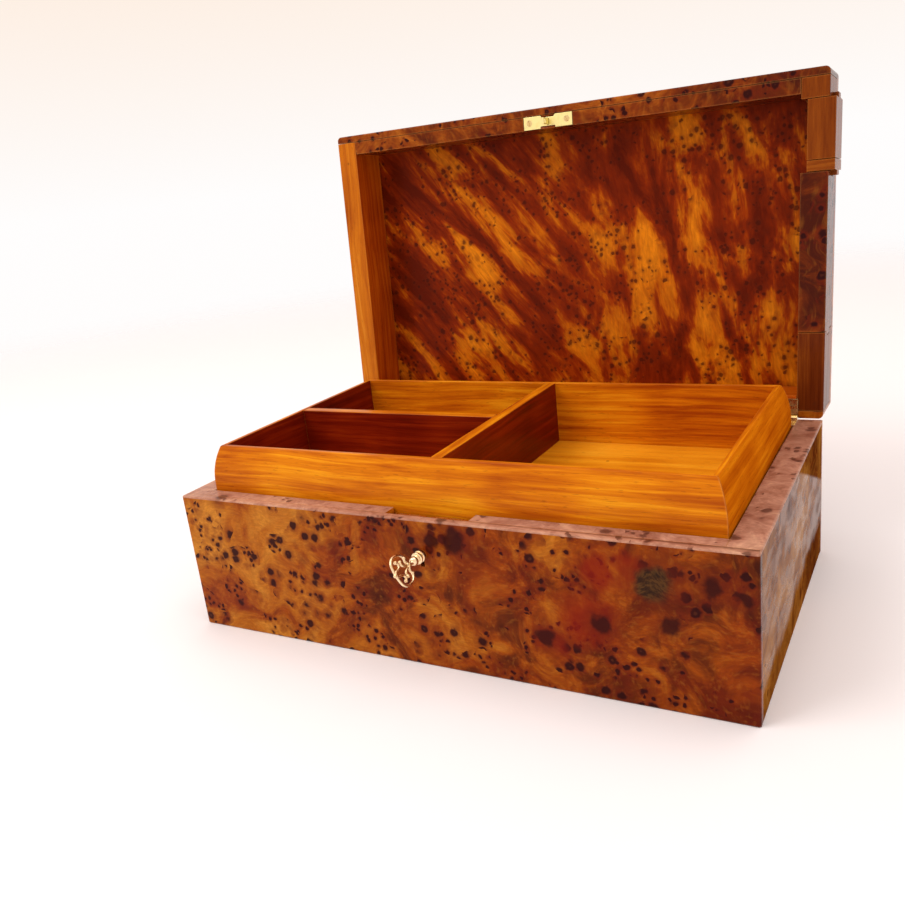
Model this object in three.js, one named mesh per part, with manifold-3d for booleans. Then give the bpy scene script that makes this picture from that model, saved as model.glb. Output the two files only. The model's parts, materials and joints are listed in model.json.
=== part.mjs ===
// Wooden puzzle box: a burl-wood jewellery box with a lock and key, a hinged lid whose right wall holds
// the secret pieces, and a lift-out divided tray. Millimetres, +Z up, +X right, -Y towards the user.
// The origin is the middle of the base's underside. The lid stands open, as the box is shown.
import * as THREE from "three";
import { mergeVertices } from "three/addons/utils/BufferGeometryUtils.js";
import Module from "manifold-3d";

const wasm = await Module();
wasm.setup();

// ---------------------------------------------------------------- driving dimensions
const BOX_W = 300; // width, left to right
const BOX_D = 179; // depth, front to back
const BASE_H = 76.5; // height of the base to its rim
const LID_H = 34; // height of the closed lid
const LID_PANEL_T = 7; // thickness of the lid's top panel
const LID_OPEN_DEG = 93.5; // how far the lid stands open
const RIM_GAP = 0.3; // closed lid to base rim

const FACING_T = 4; // burl facings on the front and the back
const BASE_FRONT_T = 11.6; // base front, facing and wall together
const BASE_BACK_T = 12.4;
const BASE_SIDE_T = 13.5;
const BOTTOM_T = 8;
const LID_FRONT_T = 11.8;
const LID_BACK_T = 12.4;
const LID_SIDE_T = 13.5;
const EDGE = 1.2; // rounding of the base's outer corners
const LID_EDGE = 2.6; // and of the lid's

const GLUE = 0.1; // gap at a glued joint in the base and the tray
const LID_GLUE = 0.3; // the same inside the turned lid
const RUN = 0.3; // clearance round a sliding wooden piece
const OVER = 1; // how far a cutter runs past the face it opens
const SEGMENTS = 16; // sides of a round bar

// Tray
const TRAY_CLEAR = 0.7; // tray to base walls, all round
const TRAY_H = 40;
const TRAY_PROUD = 24; // how far the tray stands above the rim
const TRAY_INSET = 4.5; // how far its outer faces curve in at the top
const TRAY_CURVE_FROM = 3; // the curve starts this far above the rim
const TRAY_CURVE = 2.2; // power of the curve: straight at first, then turning in
const CURVE_STEPS = 8;
const TRAY_EDGE_T = 2.6; // thickness of the top edges
const TRAY_FLOOR_T = 4;
const DIVIDER_T = 6;
const LONG_DIVIDER_X = 1;
const CROSS_DIVIDER_Y = -0.5;
const LEDGE_W = 6;
const LEDGE_H = 12;

// Hinges
const HINGE_L = 38;
const HINGE_END = 13; // hinge end to the side of the box
const HINGE_OFF = 0.4; // axis behind the back face
const KNUCKLE_R = 2;
const PIN_R = 0.9;
const PIN_BORE_R = 1;
const LEAF_T = 1.2;
const LEAF_REACH = 10.5; // leaf, from the back face inwards
const KNUCKLES = 3;
const KNUCKLE_GAP = 0.2;
const LEAF_FIT = 0.3; // gap round a leaf and its knuckles in the wood
const LEAF_LAP = 0.1; // how far the link to a knuckle overlaps the leaf
const HINGE_SCREW_IN = 8; // screws, from the leaf's ends

// Screws
const SCREW_R = 0.8;
const SCREW_HEAD_R = 1.7;
const SCREW_HEAD_T = 0.9;
const SCREW_L = 8;
const SCREW_FIT = 0.3; // gap round a screw in wood
const BRASS_SCREW_FIT = 0.1; // the same in sheet brass
const SCREW_SINK = 0.05; // screw heads under the face of the brass
const SLOT_W = 0.5;
const SLOT_D = 0.4;

// Lock and key
const KEY_X = -1.3;
const KEY_DROP = 17.6; // key axis under the rim
const KEY_TURNED_DEG = 29; // how far the key has been turned past upright
const NOTCH_X = 1;
const NOTCH_END = 1.3; // lock to each end of its notch in the front wall
const LOCK_TOP_DROP = 2.6; // lock case under the rim
const LOCK_W = 42;
const LOCK_CASE_H = 28;
const LOCK_SHEET = 0.8;
const LOCK_FIT = 0.3;
const LOCK_SCREW_IN = 3.5; // lock screws, from the ends of the case
const LOCK_SCREW_UP = 5; // and above its bottom
const LOCK_SCREW_L = 2.6;
const LOCK_SCREW_HEAD_T = 0.8;
const LOCK_SCREW_FIT = 0.2;
const LOCK_SCREW_SEAT = 0.1; // gap under their heads
const CATCH_SLOT_CLEAR = 0.8; // gap round the hook in the top of the case
const TAB_W = 5.4;
const TAB_X = 4.3; // catch tab from the key's axis
const TAB_DROP = 0.5; // catch tab under the rim
const BARREL_R = 2;
const BARREL_FIT = 0.4;
const DRILL_R = 0.7;
const DRILL_HOLE_R = 1.1;
const DRILL_HOLE_IN = 0.4; // blind end of the key's bore, behind the front face
const DRILL_PIN_IN = 1; // end of the drill pin, behind the front face
const BRIDGE_H = 3; // the bridge that carries the drill pin
const BRIDGE_T = 0.8;
const BRIDGE_FIT = 0.2; // bridge to the ends of the case
const BRIDGE_IN = 0.1; // bridge under the open side of the case
const BARREL_TO_BRIDGE = 0.5;
const BOLT_T = 1.8;
const BOLT_L = 15;
const BOLT_H = 1.8;
const BOLT_BACK = 1.4; // bolt's nose to the hook when drawn back
const COLLAR_OUTS = [1.2, 3.4]; // the two collars, out from the front face
const COLLAR_R = 2.9;
const COLLAR_T = 1.3;
const BALL_OUT = 7; // ball, out from the front face
const BALL_R = 2.3;
const BOW_OUT = 18.7; // middle of the bow, out from the front face
const NUB_R = 0.8; // the small balls at the bow's ends
const BOW_LOOP_L = 6; // half length of each loop of the bow, to the middle of its wire
const BOW_LOOP_W = 3.7; // half width of the same
const BOW_WIRE = 1.5;
const BIT_GAP = 1.7; // bit to the front of the lock case
const BIT_REACH = 5.6;
const BIT_T = 1.4;
const BIT_ROOT = 0.5; // how deep the bit is let into the barrel

// Catch plate on the lid's rim
const CATCH_L = 30;
const CATCH_W = 7.2;
const CATCH_T = 1;
const CATCH_WAIST = 4.8;
const CATCH_STEP = 1; // run of the slope down to the waist
const CATCH_END_L = 10.4;
const CATCH_SCREW_IN = 3.4;
const CATCH_FIT = 0.3;
const CATCH_IN = 0.05; // catch plate under the lid's rim
const HOOK_T = 1.2;
const HOOK_W = 3.4;
const HOOK_DROP = 6.8; // how far it stands out of the rim
const HOOK_FIT = 0.15; // gap round the hook in the plate
const HOOK_EYE_W = 2.2;
const HOOK_EYE_H = 2.6;
const HOOK_EYE_DROP = 4.7; // middle of the eye, and of the bolt, under the rim

// Secret pieces in the lid's right wall: where each one ends, from the lid's front face
const POST_END = 14.6;
const BLOCK_END = 44.3;
const BAND_END = 49.7;
const DRAWER_END = 132;
const BLOCK_PROUD = 3; // how far the release block stands out
const TONGUE_H = 8;
const TONGUE_L = 2.6;
const POCKET_L = 46; // key pocket in the drawer
const POCKET_W = 7;
const POCKET_D = 20;

// ---------------------------------------------------------------- values worked out from them
const HALF_W = BOX_W / 2;
const HALF_D = BOX_D / 2;
const AXIS_Y = HALF_D + HINGE_OFF;
const AXIS_Z = BASE_H + RIM_GAP / 2;
const LID_Z = BASE_H + RIM_GAP; // the closed lid's rim
const WALL_TOP = LID_Z + LID_H - LID_PANEL_T - LID_GLUE; // top of the lid's walls
const KEY_Z = BASE_H - KEY_DROP;
const TRAY_Z = BASE_H + TRAY_PROUD - TRAY_H;
const TRAY_TOP = BASE_H + TRAY_PROUD;
const CASE_Y0 = -HALF_D + FACING_T + LOCK_FIT;
const CASE_Y1 = -HALF_D + BASE_FRONT_T - LOCK_FIT;
const CASE_Z1 = BASE_H - LOCK_TOP_DROP;
const CASE_Z0 = CASE_Z1 - LOCK_CASE_H;
const HOOK_Y = -HALF_D + FACING_T + (LID_FRONT_T - FACING_T) / 2; // middle of the catch, closed
const NOTCH_W = LOCK_W + 2 * NOTCH_END;
const LOCK_SCREW_XS = [
  NOTCH_X - LOCK_W / 2 + LOCK_SCREW_IN,
  NOTCH_X + LOCK_W / 2 - LOCK_SCREW_IN,
];
const LOCK_SCREW_Z = CASE_Z0 + LOCK_SCREW_UP;
const BARREL_END = CASE_Y1 - BRIDGE_T - BARREL_TO_BRIDGE;
const BOLT_Y = HOOK_Y; // the bolt passes through the hook's eye
const BOLT_Z = BASE_H - HOOK_EYE_DROP;
const BOLT_X0 = KEY_X + HOOK_T / 2 + BOLT_BACK; // bolt's nose when drawn back

// ---------------------------------------------------------------- colours
const wood = (color, roughness) => new THREE.MeshStandardMaterial({ color, roughness, metalness: 0 });
const BURL = wood(0x9a4f16, 0.22);
const DARK_BURL = wood(0x7a3d14, 0.3);
const PLAIN = wood(0xc77f2c, 0.35);
const TRAY_WOOD = wood(0xc8781e, 0.35);
const BRASS = new THREE.MeshStandardMaterial({ color: 0xd9bd78, roughness: 0.3, metalness: 1 });

// ---------------------------------------------------------------- solids
function toSolid(geometry) {
  const g = geometry.clone();
  g.deleteAttribute("normal");
  g.deleteAttribute("uv");
  const merged = mergeVertices(g, 1e-5);
  const vertProperties = new Float32Array(merged.attributes.position.array);
  return new wasm.Manifold(
    new wasm.Mesh({ numProp: 3, vertProperties, triVerts: new Uint32Array(merged.index.array) }),
  );
}

function toGeometry(solid) {
  const mesh = solid.getMesh();
  const g = new THREE.BufferGeometry();
  g.setAttribute("position", new THREE.BufferAttribute(new Float32Array(mesh.vertProperties), 3));
  g.setIndex(new THREE.BufferAttribute(new Uint32Array(mesh.triVerts), 1));
  g.computeVertexNormals();
  return g;
}

// A box between two values on each axis.
function block(x0, x1, y0, y1, z0, z1) {
  const g = new THREE.BoxGeometry(x1 - x0, y1 - y0, z1 - z0);
  g.translate((x0 + x1) / 2, (y0 + y1) / 2, (z0 + z1) / 2);
  return toSolid(g);
}

// A round bar from one point to another, along X, Y or Z.
function bar(axis, radius, from, to, a, b, radiusTo = radius) {
  const g = new THREE.CylinderGeometry(radiusTo, radius, to - from, SEGMENTS);
  const middle = (from + to) / 2;
  if (axis === "x") g.rotateZ(-Math.PI / 2).translate(middle, a, b);
  if (axis === "y") g.translate(a, middle, b);
  if (axis === "z") g.rotateX(Math.PI / 2).translate(a, b, middle);
  return toSolid(g);
}

// A flat outline in X and Y, thick in Z.
function plateZ(shape, z0, z1, curveSegments = 6) {
  const g = new THREE.ExtrudeGeometry(shape, { depth: z1 - z0, bevelEnabled: false, curveSegments });
  g.translate(0, 0, z0);
  return toSolid(g);
}

// A rectangle whose four corners are rounded only where asked: front left, front right, back right, back left.
function rectangle(x0, x1, y0, y1, r = [0, 0, 0, 0]) {
  const s = new THREE.Shape();
  s.moveTo(x0 + r[0], y0);
  s.lineTo(x1 - r[1], y0);
  if (r[1]) s.absarc(x1 - r[1], y0 + r[1], r[1], -Math.PI / 2, 0, false);
  s.lineTo(x1, y1 - r[2]);
  if (r[2]) s.absarc(x1 - r[2], y1 - r[2], r[2], 0, Math.PI / 2, false);
  s.lineTo(x0 + r[3], y1);
  if (r[3]) s.absarc(x0 + r[3], y1 - r[3], r[3], Math.PI / 2, Math.PI, false);
  s.lineTo(x0, y0 + r[0]);
  if (r[0]) s.absarc(x0 + r[0], y0 + r[0], r[0], Math.PI, 1.5 * Math.PI, false);
  return s;
}

function named(name, solid, material) {
  const mesh = new THREE.Mesh(toGeometry(solid), material);
  mesh.name = name;
  return mesh;
}

// ---------------------------------------------------------------- where screws and hinges go
const HINGES = [
  { side: "left", x0: -HALF_W + HINGE_END },
  { side: "right", x0: HALF_W - HINGE_END - HINGE_L },
];
const SCREW_XS = (x0) => [x0 + HINGE_SCREW_IN, x0 + HINGE_L - HINGE_SCREW_IN];
const HINGE_SCREW_Y = HALF_D - LEAF_REACH / 2;
const CATCH_SCREW_XS = [
  KEY_X - CATCH_L / 2 + CATCH_SCREW_IN,
  KEY_X + CATCH_L / 2 - CATCH_SCREW_IN,
];

// A countersunk screw, its flat head at z and its shank going down (direction -1) or up (1).
function screwSolid(x, y, z, direction, slack = 0) {
  const r = SCREW_R + slack;
  const head = SCREW_HEAD_R + slack;
  const under = z + direction * (SCREW_HEAD_T + slack);
  const tip = z + direction * (SCREW_L + slack);
  const cone =
    direction < 0 ? bar("z", r, under, z, x, y, head) : bar("z", head, z, under, x, y, r);
  const shank = bar("z", r, Math.min(under, tip), Math.max(under, tip), x, y);
  return cone.add(shank);
}

function slottedScrew(x, y, z, direction) {
  const depth = direction * SLOT_D;
  const slot = block(
    x - SCREW_HEAD_R - OVER, x + SCREW_HEAD_R + OVER,
    y - SLOT_W / 2, y + SLOT_W / 2,
    Math.min(z - direction, z + depth), Math.max(z - direction, z + depth),
  );
  return screwSolid(x, y, z, direction).subtract(slot);
}

// ---------------------------------------------------------------- base
function baseFrontFacing() {
  const outline = rectangle(-HALF_W, HALF_W, -HALF_D, -HALF_D + FACING_T, [EDGE, EDGE, 0, 0]);
  const keyhole = bar("y", BARREL_R + BARREL_FIT, -HALF_D - OVER, -HALF_D + FACING_T + OVER, KEY_X, KEY_Z);
  const y1 = -HALF_D + FACING_T + OVER;
  const slit = block(
    KEY_X - BIT_T / 2 - BARREL_FIT, KEY_X + BIT_T / 2 + BARREL_FIT,
    -HALF_D - OVER, y1, KEY_Z - BIT_REACH - BARREL_FIT, KEY_Z,
  );
  let facing = plateZ(outline, 0, BASE_H).subtract(keyhole.add(slit));
  for (const x of LOCK_SCREW_XS) {
    facing = facing.subtract(bar("y", SCREW_R + SCREW_FIT, -HALF_D + OVER, y1, x, LOCK_SCREW_Z));
  }
  return facing;
}

function baseFrontWall() {
  const y0 = -HALF_D + FACING_T + GLUE;
  const y1 = -HALF_D + BASE_FRONT_T;
  const inner = HALF_W - BASE_SIDE_T - GLUE;
  const notch = block(
    NOTCH_X - NOTCH_W / 2, NOTCH_X + NOTCH_W / 2, y0 - OVER, y1 + OVER, CASE_Z0 - LOCK_FIT, BASE_H + OVER,
  );
  return block(-inner, inner, y0, y1, 0, BASE_H).subtract(notch);
}

function hingeCuts(z0, z1, direction) {
  let cuts = null;
  for (const { x0 } of HINGES) {
    const x1 = x0 + HINGE_L;
    const [a, b] = [x0 - LEAF_FIT, x1 + LEAF_FIT];
    let cut = block(a, b, HALF_D - LEAF_REACH - LEAF_FIT, AXIS_Y, z0, z1);
    cut = cut.add(bar("x", KNUCKLE_R + LEAF_FIT, a, b, AXIS_Y, AXIS_Z));
    for (const x of SCREW_XS(x0)) {
      cut = cut.add(screwSolid(x, HINGE_SCREW_Y, direction < 0 ? z1 : z0, direction, SCREW_FIT));
    }
    cuts = cuts ? cuts.add(cut) : cut;
  }
  return cuts;
}
const baseHingeCuts = () => hingeCuts(BASE_H - LEAF_T - LEAF_FIT, BASE_H, -1);
const lidHingeCuts = () => hingeCuts(LID_Z, LID_Z + LEAF_T + LEAF_FIT, 1);

function baseBackFacing() {
  const outline = rectangle(-HALF_W, HALF_W, HALF_D - FACING_T, HALF_D, [0, 0, EDGE, EDGE]);
  return plateZ(outline, 0, BASE_H).subtract(baseHingeCuts());
}

function baseBackWall() {
  const inner = HALF_W - BASE_SIDE_T - GLUE;
  const y0 = HALF_D - BASE_BACK_T;
  return block(-inner, inner, y0, HALF_D - FACING_T - GLUE, 0, BASE_H).subtract(baseHingeCuts());
}

function baseSideWall(side) {
  const y = HALF_D - FACING_T - GLUE;
  const outer = side * HALF_W;
  const inner = side * (HALF_W - BASE_SIDE_T);
  const hinge = baseHingeCuts();
  return block(Math.min(outer, inner), Math.max(outer, inner), -y, y, 0, BASE_H).subtract(hinge);
}

function baseBottomPanel() {
  const x = HALF_W - BASE_SIDE_T - GLUE;
  const y0 = -HALF_D + BASE_FRONT_T + GLUE;
  return block(-x, x, y0, HALF_D - BASE_BACK_T - GLUE, 0, BOTTOM_T);
}

function trayLedge(side) {
  const wall = HALF_W - BASE_SIDE_T - GLUE;
  const [a, b] = [side * wall, side * (wall - LEDGE_W)];
  const y0 = -HALF_D + BASE_FRONT_T + GLUE;
  const z1 = TRAY_Z - GLUE;
  return block(Math.min(a, b), Math.max(a, b), y0, HALF_D - BASE_BACK_T - GLUE, z1 - LEDGE_H, z1);
}

// ---------------------------------------------------------------- lock and key
// A tray of sheet brass, open towards the inside of the box, with a slot in its top for the hook.
function lockCase() {
  const x0 = NOTCH_X - LOCK_W / 2;
  const x1 = NOTCH_X + LOCK_W / 2;
  const s = LOCK_SHEET;
  let solid = block(x0, x1, CASE_Y0, CASE_Y1, CASE_Z0, CASE_Z1);
  solid = solid.subtract(block(x0 + s, x1 - s, CASE_Y0 + s, CASE_Y1 + OVER, CASE_Z0 + s, CASE_Z1 - s));
  const slot = block(
    KEY_X - HOOK_T / 2 - CATCH_SLOT_CLEAR, KEY_X + HOOK_T / 2 + CATCH_SLOT_CLEAR,
    HOOK_Y - HOOK_W / 2 - CATCH_SLOT_CLEAR, CASE_Y1 + OVER, CASE_Z1 - s - OVER, CASE_Z1 + OVER,
  );
  const hole = bar("y", BARREL_R + BARREL_FIT, CASE_Y0 - OVER, CASE_Y0 + s + OVER / 2, KEY_X, KEY_Z);
  const slit = block(
    KEY_X - BIT_T / 2 - BARREL_FIT, KEY_X + BIT_T / 2 + BARREL_FIT,
    CASE_Y0 - OVER, CASE_Y0 + s + OVER / 2, KEY_Z - BIT_REACH - BARREL_FIT, KEY_Z,
  );
  solid = solid.subtract(slot).subtract(hole).subtract(slit);
  for (const x of LOCK_SCREW_XS) {
    solid = solid.subtract(
      bar("y", SCREW_R + LOCK_SCREW_FIT, CASE_Y0 - OVER, CASE_Y0 + s + OVER / 2, x, LOCK_SCREW_Z),
    );
  }
  const tabX = KEY_X + TAB_X;
  const tab = block(
    tabX - TAB_W / 2, tabX + TAB_W / 2, CASE_Y0, CASE_Y0 + s, CASE_Z1 - s, BASE_H - TAB_DROP,
  );
  return solid.add(tab);
}

function lockScrew(x) {
  const seat = CASE_Y0 + LOCK_SHEET + LOCK_SCREW_SEAT;
  const head = bar("y", SCREW_HEAD_R, seat, seat + LOCK_SCREW_HEAD_T, x, LOCK_SCREW_Z);
  const shank = bar("y", SCREW_R, seat - LOCK_SCREW_L, seat + LOCK_SCREW_SEAT, x, LOCK_SCREW_Z);
  const top = seat + LOCK_SCREW_HEAD_T;
  const slot = block(
    x - SCREW_HEAD_R - OVER, x + SCREW_HEAD_R + OVER, top - SLOT_D, top + OVER,
    LOCK_SCREW_Z - SLOT_W / 2, LOCK_SCREW_Z + SLOT_W / 2,
  );
  return head.add(shank).subtract(slot);
}

// The pin in the lock that the key's hollow barrel turns on, with its foot on a bridge across the case.
function drillPin() {
  const y1 = CASE_Y1 - BRIDGE_IN;
  const x = LOCK_W / 2 - LOCK_SHEET - BRIDGE_FIT;
  const bridge = block(
    NOTCH_X - x, NOTCH_X + x, y1 - BRIDGE_T, y1, KEY_Z - BRIDGE_H / 2, KEY_Z + BRIDGE_H / 2,
  );
  return bar("y", DRILL_R, -HALF_D + DRILL_PIN_IN, y1 - BRIDGE_T / 4, KEY_X, KEY_Z).add(bridge);
}

function lockBolt() {
  return block(
    BOLT_X0, BOLT_X0 + BOLT_L, BOLT_Y - BOLT_T / 2, BOLT_Y + BOLT_T / 2,
    BOLT_Z - BOLT_H / 2, BOLT_Z + BOLT_H / 2,
  );
}

// The key stands along Y through (KEY_X, KEY_Z); built upright at the origin, then turned and placed.
function key() {
  const face = -HALF_D;
  let solid = bar("y", BARREL_R, face - BALL_OUT, BARREL_END, 0, 0);
  for (const out of COLLAR_OUTS) {
    solid = solid.add(bar("y", COLLAR_R, face - out - COLLAR_T, face - out, 0, 0));
  }
  const ball = new THREE.SphereGeometry(BALL_R, 16, 10);
  ball.translate(0, face - BALL_OUT, 0);
  solid = solid.add(toSolid(ball));
  const bowY = face - BOW_OUT;
  for (const side of [-1, 1]) {
    const loop = new THREE.TorusGeometry(BOW_LOOP_W, BOW_WIRE / 2, 6, 20);
    loop.rotateY(Math.PI / 2).scale(1, BOW_LOOP_L / BOW_LOOP_W, 1);
    loop.translate(0, bowY, side * BOW_LOOP_W);
    solid = solid.add(toSolid(loop));
    const nub = new THREE.SphereGeometry(NUB_R, 8, 6);
    nub.translate(0, bowY, side * (2 * BOW_LOOP_W + BOW_WIRE / 2));
    solid = solid.add(toSolid(nub));
  }
  const spine = bar("y", BOW_WIRE / 2, bowY - BOW_LOOP_L - BOW_WIRE / 4, face - BALL_OUT, 0, 0);
  const tip = new THREE.SphereGeometry(NUB_R, 8, 6);
  tip.translate(0, bowY - BOW_LOOP_L - BOW_WIRE / 2, 0);
  solid = solid.add(spine).add(toSolid(tip));
  const bitY = CASE_Y0 + LOCK_SHEET + BIT_GAP;
  solid = solid.add(block(-BIT_T / 2, BIT_T / 2, bitY, BARREL_END, -BIT_REACH, -BARREL_R + BIT_ROOT));
  return solid.subtract(bar("y", DRILL_HOLE_R, face + DRILL_HOLE_IN, BARREL_END + OVER, 0, 0));
}

// ---------------------------------------------------------------- hinges
// One leaf: a plate with its share of the knuckles, which the pin runs through.
function hingeLeaf(x0, onLid) {
  const [z0, z1] = onLid ? [LID_Z, LID_Z + LEAF_T] : [BASE_H - LEAF_T, BASE_H];
  const lift = onLid ? LEAF_FIT / 2 : -LEAF_FIT / 2;
  const plateZ0 = z0 + lift;
  const plateZ1 = z1 + lift;
  const y0 = HALF_D - LEAF_REACH;
  const y1 = AXIS_Y - KNUCKLE_R - LEAF_FIT;
  let leaf = block(x0, x0 + HINGE_L, y0, y1, plateZ0, plateZ1);
  const step = HINGE_L / KNUCKLES;
  for (let i = onLid ? 1 : 0; i < KNUCKLES; i += 2) {
    const a = x0 + i * step + (i ? KNUCKLE_GAP / 2 : 0);
    const b = x0 + (i + 1) * step - (i < KNUCKLES - 1 ? KNUCKLE_GAP / 2 : 0);
    leaf = leaf.add(block(a, b, y1 - LEAF_LAP, AXIS_Y, plateZ0, plateZ1));
    leaf = leaf.add(bar("x", KNUCKLE_R, a, b, AXIS_Y, AXIS_Z));
  }
  leaf = leaf.subtract(bar("x", PIN_BORE_R, x0 - OVER, x0 + HINGE_L + OVER, AXIS_Y, AXIS_Z));
  for (const x of SCREW_XS(x0)) {
    const face = onLid ? plateZ0 : plateZ1;
    const into = onLid ? 1 : -1;
    const seat = face + into * SCREW_SINK;
    leaf = leaf.subtract(screwSolid(x, HINGE_SCREW_Y, seat, into, BRASS_SCREW_FIT));
    const mouth = SCREW_HEAD_R + BRASS_SCREW_FIT;
    leaf = leaf.subtract(bar("z", mouth, face - LEAF_T / 4, face + LEAF_T / 4, x, HINGE_SCREW_Y));
  }
  return leaf;
}

const hingePin = (x0) => bar("x", PIN_R, x0, x0 + HINGE_L, AXIS_Y, AXIS_Z);

// ---------------------------------------------------------------- lid, modelled closed
function lidTopPanel() {
  const outline = rectangle(-HALF_W, HALF_W, -HALF_D, HALF_D, [LID_EDGE, LID_EDGE, LID_EDGE, LID_EDGE]);
  return plateZ(outline, LID_Z + LID_H - LID_PANEL_T, LID_Z + LID_H);
}

function lidFrontFacing() {
  const outline = rectangle(-HALF_W, HALF_W, -HALF_D, -HALF_D + FACING_T, [LID_EDGE, LID_EDGE, 0, 0]);
  return plateZ(outline, LID_Z, WALL_TOP);
}

const catchOutline = (grow) => {
  const [a, b] = [CATCH_L / 2 + grow, CATCH_W / 2 + grow];
  const [c, d] = [CATCH_L / 2 - CATCH_END_L - grow, CATCH_WAIST / 2 + grow];
  const s = new THREE.Shape();
  s.moveTo(-a, -b);
  const corners = [
    [-c, -b], [-c + CATCH_STEP, -d], [c - CATCH_STEP, -d], [c, -b], [a, -b],
    [a, b], [c, b], [c, d], [-c, d], [-c, b],
  ];
  for (const [x, y] of corners) s.lineTo(x, y);
  s.lineTo(-a, b);
  return s;
};

function lidFrontWall() {
  const inner = HALF_W - LID_SIDE_T - LID_GLUE;
  const y0 = -HALF_D + FACING_T + LID_GLUE;
  let wall = block(-inner, inner, y0, -HALF_D + LID_FRONT_T, LID_Z, WALL_TOP);
  const recess = plateZ(catchOutline(CATCH_FIT), LID_Z - OVER, LID_Z + CATCH_T + CATCH_FIT);
  wall = wall.subtract(recess.translate([KEY_X, HOOK_Y, 0]));
  for (const x of CATCH_SCREW_XS) {
    wall = wall.subtract(screwSolid(x, HOOK_Y, LID_Z, 1, SCREW_FIT));
  }
  return wall;
}

function lidBackFacing() {
  const outline = rectangle(-HALF_W, HALF_W, HALF_D - FACING_T, HALF_D, [0, 0, LID_EDGE, LID_EDGE]);
  return plateZ(outline, LID_Z, WALL_TOP).subtract(lidHingeCuts());
}

function lidBackWall() {
  const inner = HALF_W - LID_SIDE_T - LID_GLUE;
  const y1 = HALF_D - FACING_T - LID_GLUE;
  return block(-inner, inner, HALF_D - LID_BACK_T, y1, LID_Z, WALL_TOP).subtract(lidHingeCuts());
}

function lidLeftWall() {
  const y = HALF_D - FACING_T - LID_GLUE;
  const wall = block(-HALF_W, -HALF_W + LID_SIDE_T, -y, y, LID_Z, WALL_TOP);
  return wall.subtract(lidHingeCuts());
}

const RIGHT_X0 = HALF_W - LID_SIDE_T;
const fromFront = (distance) => -HALF_D + distance;
const TONGUE_Z0 = (LID_Z + WALL_TOP - TONGUE_H) / 2;

// A tongue, or the groove for it, across the right wall at a joint line.
function tongue(y0, y1, slack, overrun = 0) {
  return block(
    RIGHT_X0 - overrun, HALF_W + overrun, y0, y1 + slack,
    TONGUE_Z0 - slack, TONGUE_Z0 + TONGUE_H + slack,
  );
}

function lidFrontPost() {
  const y1 = fromFront(POST_END) - RUN;
  const post = block(RIGHT_X0, HALF_W, fromFront(FACING_T) + LID_GLUE, y1, LID_Z, WALL_TOP);
  return post.subtract(tongue(y1 - TONGUE_L, y1 + OVER, RUN, 1));
}

function releaseBlock() {
  const y0 = fromFront(POST_END);
  const y1 = fromFront(BLOCK_END) - LID_GLUE;
  const body = block(RIGHT_X0, HALF_W, y0, y1, LID_Z, WALL_TOP);
  return body.add(tongue(y0 - TONGUE_L, y0 + OVER, 0)).translate([BLOCK_PROUD, 0, 0]);
}

function releaseBlockBand() {
  const y0 = fromFront(BLOCK_END);
  const y1 = fromFront(BAND_END);
  const body = block(RIGHT_X0, HALF_W, y0, y1, LID_Z, WALL_TOP);
  return body.add(tongue(y1 - OVER, y1 + TONGUE_L, 0)).translate([BLOCK_PROUD, 0, 0]);
}

// The drawer that hides the key: its pocket opens towards the lid's top panel.
function keyDrawer() {
  const y0 = fromFront(BAND_END) + RUN;
  const y1 = fromFront(DRAWER_END);
  let drawer = block(RIGHT_X0, HALF_W, y0, y1, LID_Z, WALL_TOP);
  const groove = block(
    RIGHT_X0 - OVER, HALF_W + OVER, y0 - OVER, y0 + TONGUE_L,
    TONGUE_Z0 - RUN, TONGUE_Z0 + TONGUE_H + RUN,
  );
  drawer = drawer.subtract(groove).add(tongue(y1 - OVER, y1 + TONGUE_L, 0));
  const middle = (y0 + y1) / 2;
  const pocketX = (RIGHT_X0 + HALF_W) / 2;
  return drawer.subtract(
    block(
      pocketX - POCKET_W / 2, pocketX + POCKET_W / 2, middle - POCKET_L / 2, middle + POCKET_L / 2,
      WALL_TOP - POCKET_D, WALL_TOP + OVER,
    ),
  );
}

function lidRearBlock() {
  const y0 = fromFront(DRAWER_END) + RUN;
  const y1 = HALF_D - FACING_T - LID_GLUE;
  const rear = block(RIGHT_X0, HALF_W, y0, y1, LID_Z, WALL_TOP);
  const groove = block(
    RIGHT_X0 - OVER, HALF_W + OVER, y0 - OVER, y0 + TONGUE_L,
    TONGUE_Z0 - RUN, TONGUE_Z0 + TONGUE_H + RUN,
  );
  return rear.subtract(groove).subtract(lidHingeCuts());
}

// The brass plate let into the lid's rim, with a slot for the hook's foot.
function catchPlate() {
  const z0 = LID_Z + CATCH_IN;
  let plate = plateZ(catchOutline(0), z0, z0 + CATCH_T);
  plate = plate.translate([KEY_X, HOOK_Y, 0]);
  plate = plate.subtract(
    block(
      KEY_X - HOOK_T / 2 - HOOK_FIT, KEY_X + HOOK_T / 2 + HOOK_FIT,
      HOOK_Y - HOOK_W / 2 - HOOK_FIT, HOOK_Y + HOOK_W / 2 + HOOK_FIT, z0 - OVER, z0 + CATCH_T + OVER,
    ),
  );
  for (const x of CATCH_SCREW_XS) {
    plate = plate.subtract(screwSolid(x, HOOK_Y, z0, 1, BRASS_SCREW_FIT));
  }
  return plate;
}

function catchHook() {
  const z1 = LID_Z + CATCH_T;
  const hook = block(
    KEY_X - HOOK_T / 2, KEY_X + HOOK_T / 2, HOOK_Y - HOOK_W / 2, HOOK_Y + HOOK_W / 2,
    BASE_H - HOOK_DROP, z1,
  );
  const eye = block(
    KEY_X - HOOK_T, KEY_X + HOOK_T, BOLT_Y - HOOK_EYE_W / 2, BOLT_Y + HOOK_EYE_W / 2,
    BOLT_Z - HOOK_EYE_H / 2, BOLT_Z + HOOK_EYE_H / 2,
  );
  return hook.subtract(eye);
}

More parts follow.
